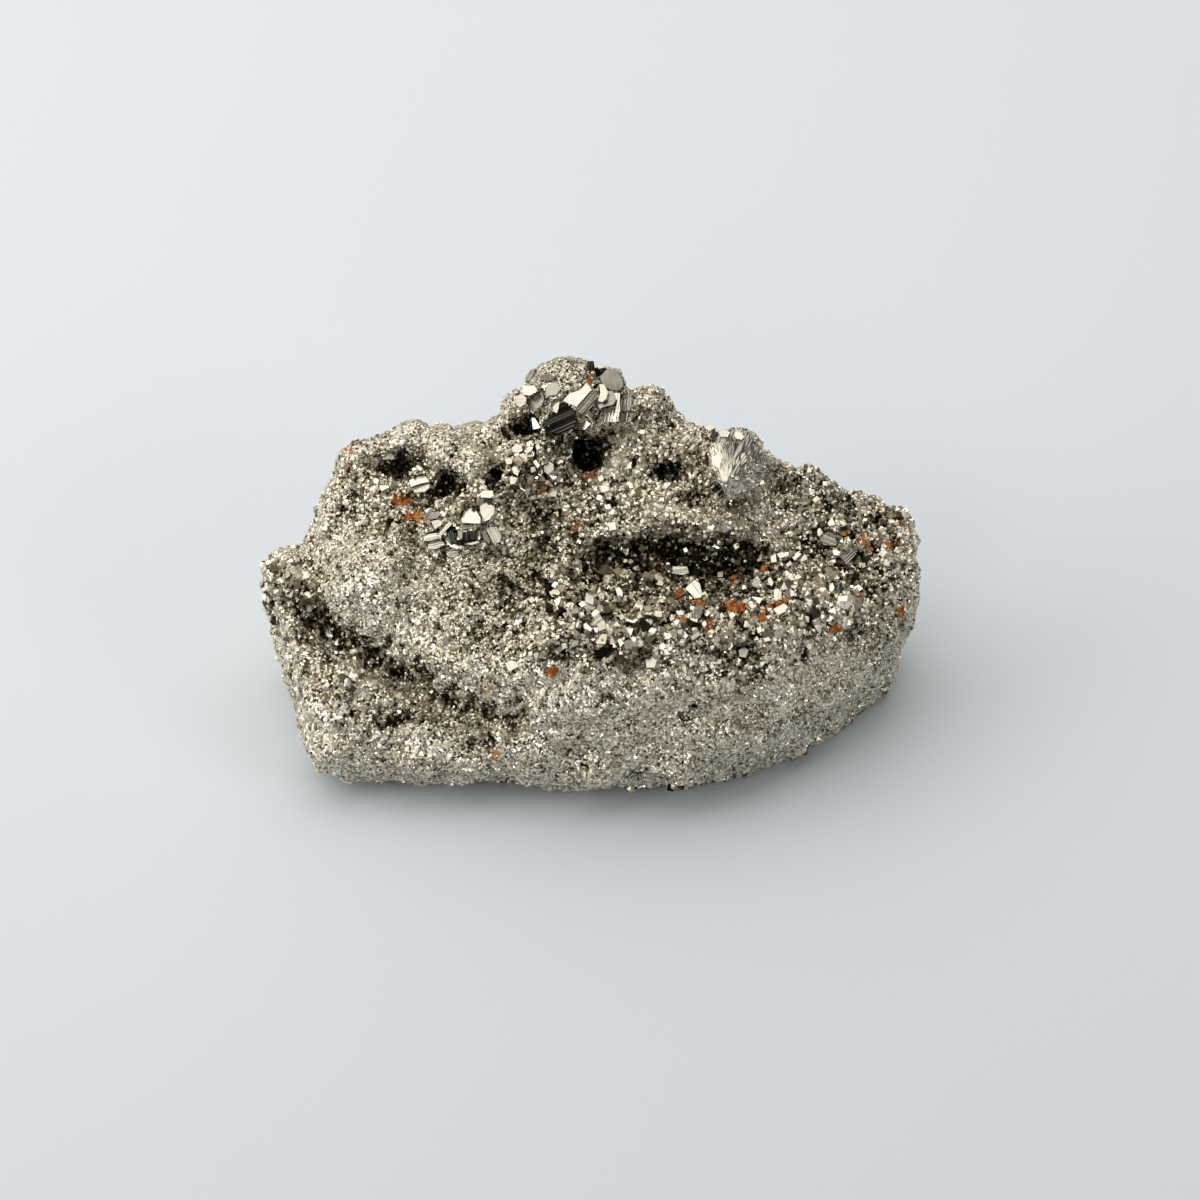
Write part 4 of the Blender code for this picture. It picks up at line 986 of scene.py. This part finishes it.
def widened(corners_px, margin_px):
    """The outline with each corner moved that much further from its middle."""
    middle = np.mean(corners_px, axis=0)
    outwards = np.array(corners_px) - middle
    outwards *= 1 + margin_px / np.linalg.norm(outwards, axis=1)[:, None]
    return tuple(map(tuple, middle + outwards))


def root_of(tree, corner):
    """Where the side from this corner ends inside the lump: straight behind it, or else close by."""
    line = (corner - EYE).normalized()
    hit = tree.ray_cast(EYE, line)[0]
    if hit is not None and (hit - corner).dot(line) < REACH_MM * MM:
        return corner + line * (max((hit - corner).dot(line), 0) + ROOT_MM * MM)
    spot, outwards = tree.find_nearest(corner)[:2]
    return spot - outwards * ROOT_MM * MM


def across_face(normal, degrees):
    """The direction on a face at right angles to the one that the camera sees at that angle."""
    turn = math.radians(degrees)
    along = ACROSS * math.cos(turn) + UPWARD * math.sin(turn)
    along = (along - normal * along.dot(normal)).normalized()
    return normal.cross(along).normalized()


def add_facet(bm, tree, plane, facet):
    """A crystal whose front face has that outline from the camera and goes back into the lump."""
    corners, normal = plane
    middle = sum(corners, Vector()) / len(corners)
    reach = min((c - middle).length for c in corners)
    chamfer = min(0.09 * MM, reach * 0.15)
    rims = []
    for share, back in ((1 - chamfer / reach, 0.0), (1.0, chamfer)):
        rims.append([bm.verts.new(middle + (c - middle) * share - normal * back) for c in corners])
    rims.append([bm.verts.new(root_of(tree, c)) for c in corners])
    face = bm.faces.new(rims[0])
    for near, far in zip(rims, rims[1:]):
        for i in range(len(corners)):
            j = (i + 1) % len(corners)
            bm.faces.new((near[i], near[j], far[j], far[i]))
    bm.faces.new(list(reversed(rims[-1])))
    if facet.ribs:
        cut_ribs(bm, face, normal, across_face(normal, facet.ribs_at), facet.ribs)
    return (middle - EYE).length


def make_right_crystal(tree):
    """The large crystal with its uneven faces as a mesh, and how much painted light, with random mottling on
    top, each of its points gets.
    """
    bm = bmesh.new()
    middle = camera_depth(tree, RIGHT_CRYSTAL_AT)
    axis = sight_line(RIGHT_CRYSTAL_AT)
    for x, y, height in RIGHT_CRYSTAL:
        spot = EYE + sight_line((x, y)) * (middle - height * MM)
        bm.verts.new(spot)
        aside = spot - (EYE + axis * (spot - EYE).dot(axis))
        for deep, wide in RIGHT_CRYSTAL_BACK:
            bm.verts.new(EYE + axis * (middle + deep * MM) + aside * wide)
    bmesh.ops.convex_hull(bm, input=bm.verts)
    loose = [v for v in bm.verts if not v.link_faces]
    bmesh.ops.delete(bm, geom=loose, context="VERTS")
    bmesh.ops.triangulate(bm, faces=bm.faces)
    bmesh.ops.subdivide_edges(bm, edges=bm.edges, cuts=9, use_grid_fill=True)
    bmesh.ops.smooth_vert(bm, verts=bm.verts, factor=0.5, use_axis_x=True, use_axis_y=True, use_axis_z=True)
    bmesh.ops.recalc_face_normals(bm, faces=bm.faces)
    grain_runs = (ACROSS * 0.55 + UPWARD * 0.8).normalized()
    streak, wave, speck, back = RIGHT_CRYSTAL_RELIEF_MM
    for vert in bm.verts:
        place = vert.co / MM
        along = place.dot(grain_runs)
        streaks = abs(noise.noise((place - grain_runs * along * 0.75) * 2.2))
        waves = noise.noise(place * 0.55 + Vector((7, 0, 3)))
        specks = noise.noise(place * 3.1)
        vert.co += vert.normal * (streaks * streak + waves * wave + specks * speck - back) * MM
    mesh = mesh_of("right_crystal", bm)
    points = mesh_points(mesh)
    fine, broad = CRYSTAL_MOTTLES
    painted_light_and_mottle = share_in(*picture_px(points), RIGHT_CRYSTAL_PAINTED_LIGHT, 0.6)
    painted_light_and_mottle += 0.9 * noise_at(points, *fine) + 0.5 * noise_at(points, *broad)
    return mesh, np.clip(painted_light_and_mottle, -0.8, 1)


def add_mesh_of(bm, joined, values, tone, dull, across):
    """Adds one crystal to the joined mesh and notes its values for each of its points."""
    bmesh.ops.recalc_face_normals(bm, faces=bm.faces)
    values += [(tone, dull, v.co.dot(across) / MM) for v in bm.verts]
    mesh = mesh_of("crystal", bm)
    joined.from_mesh(mesh)
    bpy.data.meshes.remove(mesh)


def make_crystals(tree, facets, planes, right_crystal):
    """The larger crystals as one piece, and where grains keep out of their way."""
    joined = bmesh.new()
    values, keep_out, outlines = [], [], []
    for name, spot_px, size, right, up, spin, ribs, tone in CRYSTALS:
        point = seen_at(tree, spot_px)
        if point is None:
            raise ValueError(f"{name} has nothing to sit on")
        turn = leaning(right, up, spin)
        normal = turn @ Vector((0, 0, 1))
        centre = point - normal * size[2] * CRYSTAL_SINKS * MM
        bm = bmesh.new()
        if ribs:
            ribbed_block(bm, Vector(size) * MM, ribs)
        else:
            cut_cube(bm, Vector(size) * MM)
        bm.transform(Matrix.Translation(centre) @ turn.to_4x4())
        add_mesh_of(bm, joined, values, tone, 0.3, turn @ Vector((1, 0, 0)))
        face_centre = np.array(centre + normal * size[2] * 0.5 * MM)
        keep_out.append((face_centre, CRYSTAL_CLEARS * max(size[0], size[1]) * MM))
    for i, (facet, plane) in enumerate(zip(facets, planes)):
        bm = bmesh.new()
        depth = add_facet(bm, tree, plane, facet)
        lines_at = facet.ribs_at if facet.ribs else 55 * i % 180
        add_mesh_of(bm, joined, values, facet.tone, facet.dull, across_face(plane[1], lines_at))
        outlines.append((widened(facet.corners, CLEAR_PX), depth))
    right_mesh, painted_light_and_mottle = right_crystal
    joined.from_mesh(right_mesh)
    # Its tone rises with the painted light and the mottling, and it is less dull there
    values += [(0.72 + 0.22 * share, 1.0 - 0.5 * max(share, 0), 0.0) for share in painted_light_and_mottle]
    mesh = mesh_of("larger_crystals", joined)
    tone, dull, across = np.array(values).T
    set_values(mesh, tone=tone, dull=dull, across=across, rust=np.zeros(len(tone)))
    return add_object("larger_crystals", mesh), keep_out, outlines


# Materials

def add_node(tree, kind, inputs=(), **settings):
    """A node with these settings. Its inputs, by name or place, are values or the sockets that feed them."""
    made = tree.nodes.new(kind)
    for name, value in settings.items():
        setattr(made, name, value)
    for key, value in dict(inputs).items():
        if isinstance(value, bpy.types.NodeSocket):
            tree.links.new(value, made.inputs[key])
        else:
            made.inputs[key].default_value = value
    return made


def new_material(name):
    """A material and its node tree and shader."""
    material = bpy.data.materials.new(name)
    material.use_nodes = True
    tree = material.node_tree
    return material, tree, tree.nodes["Principled BSDF"]


def read_value(tree, name):
    return add_node(tree, "ShaderNodeAttribute", attribute_name=name).outputs["Fac"]


def place_of(tree, kind="Object"):
    return add_node(tree, "ShaderNodeTexCoord").outputs[kind]


def ramp_of(tree, source, stops):
    made = add_node(tree, "ShaderNodeValToRGB", {"Fac": source})
    ramp = made.color_ramp
    ramp.elements[0].position, ramp.elements[0].color = stops[0][0], (*stops[0][1], 1)
    ramp.elements[1].position, ramp.elements[1].color = stops[-1][0], (*stops[-1][1], 1)
    for position, colour in stops[1:-1]:
        ramp.elements.new(position).color = (*colour, 1)
    return made.outputs["Color"]


def noise_of(tree, scale, detail=2.0):
    inputs = {"Scale": scale, "Detail": detail, "Vector": place_of(tree)}
    return add_node(tree, "ShaderNodeTexNoise", inputs).outputs["Fac"]


def in_range(tree, source, low, high, from_low=0.0, from_high=1.0):
    inputs = {"Value": source, "From Min": from_low, "From Max": from_high, "To Min": low, "To Max": high}
    return add_node(tree, "ShaderNodeMapRange", inputs).outputs["Result"]


def combined(tree, operation, *sources):
    return add_node(tree, "ShaderNodeMath", enumerate(sources), operation=operation).outputs[0]


def vector_math(tree, operation, inputs):
    return add_node(tree, "ShaderNodeVectorMath", inputs, operation=operation).outputs[0]


def green_of(tree, colour):
    """One of a cell's random numbers."""
    return add_node(tree, "ShaderNodeSeparateColor", {0: colour}).outputs["Green"]


def facetted_normal(tree):
    """The surface's own normal, tipped another way in each small cell, and a random value for each cell."""
    inputs = {"Scale": 1 / (SPARKLE_CELL_MM * MM), "Vector": place_of(tree)}
    colour = add_node(tree, "ShaderNodeTexVoronoi", inputs).outputs["Color"]
    shift = vector_math(tree, "SUBTRACT", {0: colour, 1: (0.5, 0.5, 0.5)})
    tipped = vector_math(tree, "SCALE", {0: shift, "Scale": SPARKLE_TILT})
    surface = add_node(tree, "ShaderNodeNewGeometry").outputs["Normal"]
    unit = vector_math(tree, "NORMALIZE", {0: vector_math(tree, "ADD", {0: surface, 1: tipped})})
    return unit, green_of(tree, colour)


def painted_shade_of_gaps(tree):
    """Painted shade on the ground: how dark it is where seams run between its grains, in dark specks, and
    where crevices open.
    """
    inputs = {"Scale": 1 / (SEAM_CELL_MM * MM), "Vector": place_of(tree)}
    seams = add_node(tree, "ShaderNodeTexVoronoi", inputs, feature="DISTANCE_TO_EDGE").outputs["Distance"]
    thin = in_range(tree, seams, 1.0, 0.0, 0.02, 0.12)
    open_here = in_range(tree, noise_of(tree, 800.0, 3.0), 0.0, 0.6, 0.46, 0.58)
    seams_dark = combined(tree, "MULTIPLY", thin, open_here)
    specks = in_range(tree, noise_of(tree, 1900.0, 4.0), 0.0, 0.65, 0.58, 0.66)
    uneven = in_range(tree, noise_of(tree, 1500.0, 4.0), -0.75, 0.75)
    crevices = in_range(tree, combined(tree, "ADD", read_value(tree, "dark"), uneven), 0.0, 0.8, 0.30, 0.60)
    return combined(tree, "MAXIMUM", combined(tree, "MAXIMUM", seams_dark, specks), crevices)


def painted_reflection_of_face(tree):
    """A random value for each way that a face can point, so that the faces of a grain differ: painted
    reflection, lighter or darker by facing.
    """
    surface = add_node(tree, "ShaderNodeNewGeometry").outputs["True Normal"]
    cells = add_node(tree, "ShaderNodeTexVoronoi", {"Scale": 4.0, "Vector": surface})
    return green_of(tree, cells.outputs["Color"])


def fine_lines(tree):
    """Fine lines side by side, which run along the ribs of a crystal and fade where it is dull."""
    clear = in_range(tree, read_value(tree, "dull"), 1.0, 0.2)
    inputs = {"Scale": 3.5, "Detail": 4.0, "W": read_value(tree, "across")}
    lines = add_node(tree, "ShaderNodeTexNoise", inputs, noise_dimensions="1D").outputs["Fac"]
    return combined(tree, "MULTIPLY", combined(tree, "SUBTRACT", lines, 0.5), clear)


def pyrite_material(name, roughness, bump_scale, bump, kind):
    """Pale brassy metal whose tone, which carries painted light and shade, and rust come from the piece's own
    values, uneven from noise.
    """
    material, tree, shader = new_material(name)
    uneven = combined(tree, "MULTIPLY_ADD", noise_of(tree, 260.0, 3.0), 0.4, -0.2)
    tone = combined(tree, "ADD", read_value(tree, "tone"), uneven)
    height = noise_of(tree, bump_scale, 3.0)
    bumps = {"Strength": bump, "Distance": BUMP_HEIGHT}
    if kind == "ground":
        bumps["Normal"], painted_glint_of_cell = facetted_normal(tree)
        tone = combined(tree, "ADD", tone, in_range(tree, noise_of(tree, 600.0, 4.0), -0.30, 0.22, 0.3, 0.7))
        # Painted glints: each small cell is made lighter or darker along with the tip of its normal
        tone = combined(tree, "ADD", tone, in_range(tree, painted_glint_of_cell, -0.54, 0.52))
        tone = combined(tree, "SUBTRACT", tone, painted_shade_of_gaps(tree))
    elif kind == "grains":
        # Painted reflection: each face of a grain lighter or darker by the way it points
        tone = combined(tree, "ADD", tone, in_range(tree, painted_reflection_of_face(tree), -0.42, 0.24))
    else:
        lines = fine_lines(tree)
        # The fine lines also darken the tone unevenly, as painted shade in the grooves along the ribs
        tone = combined(tree, "ADD", tone, in_range(tree, lines, -0.34, -0.08, -0.2, 0.2))
        height = combined(tree, "ADD", height, combined(tree, "MULTIPLY", lines, 1.5))
    metal = ramp_of(tree, tone, METAL_OF_CRYSTALS if kind == "crystals" else METAL_OF_GROUND)
    rust_colour = ramp_of(tree, noise_of(tree, 900.0, 3.0), RUST_COLOURS)
    ragged = in_range(tree, noise_of(tree, 1700.0, 4.0), -0.75, 0.75)
    rust = in_range(tree, combined(tree, "ADD", read_value(tree, "rust"), ragged), 0.0, 1.0, 0.42, 0.56)
    colour = add_node(tree, "ShaderNodeMix", {0: rust, 6: metal, 7: rust_colour}, data_type="RGBA")
    tree.links.new(colour.outputs[2], shader.inputs["Base Color"])
    tree.links.new(in_range(tree, rust, 1.0, 0.0), shader.inputs["Metallic"])
    shader.inputs["Specular IOR Level"].default_value = RUST_SHINE
    dull = in_range(tree, read_value(tree, "dull"), 0.0, 0.22)
    base = combined(tree, "ADD", in_range(tree, noise_of(tree, 700.0), *roughness, 0.3, 0.7), dull)
    rough = combined(tree, "ADD", base, in_range(tree, rust, 0.0, 0.4))
    tree.links.new(rough, shader.inputs["Roughness"])
    bumps = add_node(tree, "ShaderNodeBump", {**bumps, "Height": height})
    tree.links.new(bumps.outputs["Normal"], shader.inputs["Normal"])
    return material


def floor_material():
    material, tree, shader = new_material("pale_floor")
    parts = add_node(tree, "ShaderNodeSeparateXYZ", {0: place_of(tree)})
    # Painted shade: the floor darker towards the camera
    away = in_range(tree, parts.outputs["Y"], 0.0, 0.8, *FLOOR_PAINTED_SHADE_FROM)
    depth = combined(tree, "ADD", away, in_range(tree, noise_of(tree, 4.0), 0.0, 0.2))
    tree.links.new(ramp_of(tree, depth, FLOOR_COLOURS), shader.inputs["Base Color"])
    shader.inputs["Roughness"].default_value = 0.9
    return material


# Floor, light and camera

def make_floor():
    bm = bmesh.new()
    bmesh.ops.create_grid(bm, x_segments=8, y_segments=8, size=3.0)
    floor = add_object("floor", mesh_of("floor", bm))
    floor.data.materials.append(floor_material())


def make_lamp(name, direction, distance, size, watts, colour):
    """A square lamp at that distance from the lump, turned to it."""
    lamp = bpy.data.lights.new(name, "AREA")
    lamp.shape = "SQUARE"
    lamp.size = size
    lamp.energy = watts
    lamp.color = colour
    obj = add_object(name, lamp)
    towards = Vector(direction).normalized()
    obj.location = Vector((0, 0, 0.02)) + towards * distance
    obj.rotation_euler = towards.to_track_quat("Z", "Y").to_euler()


def make_world():
    """A plain room: darkest just above eye height, and paler below and overhead."""
    world = bpy.data.worlds.new("studio")
    world.use_nodes = True
    tree = world.node_tree
    background = tree.nodes["Background"]
    parts = add_node(tree, "ShaderNodeSeparateXYZ", {0: place_of(tree, "Generated")})
    colour = ramp_of(tree, in_range(tree, parts.outputs["Z"], 0, 1, -1, 1), ROOM_COLOURS)
    tree.links.new(colour, background.inputs["Color"])
    background.inputs["Strength"].default_value = 1.0
    bpy.context.scene.world = world


def make_camera():
    data = bpy.data.cameras.new("camera")
    data.lens = LENS_MM
    data.sensor_width = SENSOR_MM
    camera = add_object("camera", data)
    camera.location = EYE
    camera.rotation_euler = (math.pi / 2 - VIEW_TILT, 0, 0)
    bpy.context.scene.camera = camera
    bpy.context.scene.view_settings.view_transform = "Standard"


def main():
    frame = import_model()
    node = frame["nodes"]["pyrite_mass"]

    skin, ground = make_skin(node)
    right_crystal = make_right_crystal(surface_tree(skin.data))
    tree = surface_tree(skin.data, right_crystal[0])
    facets = [Facet(*row) for row in FACETS]
    planes = [facet_plane(tree, facet) for facet in facets]
    crystals, keep_out, outlines = make_crystals(tree, facets, planes, right_crystal)
    make_room(skin, facets, planes)
    grains = make_grains(skin, ground, keep_out, outlines)
    dress_skin(skin, ground)

    for pieces, row in zip(([skin], grains, [crystals]), MATERIALS):
        material = pyrite_material(*row)
        for piece in pieces:
            piece.data.materials.append(material)

    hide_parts("pyrite_mass")
    for piece in [skin, crystals, *grains]:
        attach(piece, "root")

    make_floor()
    make_world()
    for lamp in LAMPS:
        make_lamp(*lamp)
    make_camera()


main()
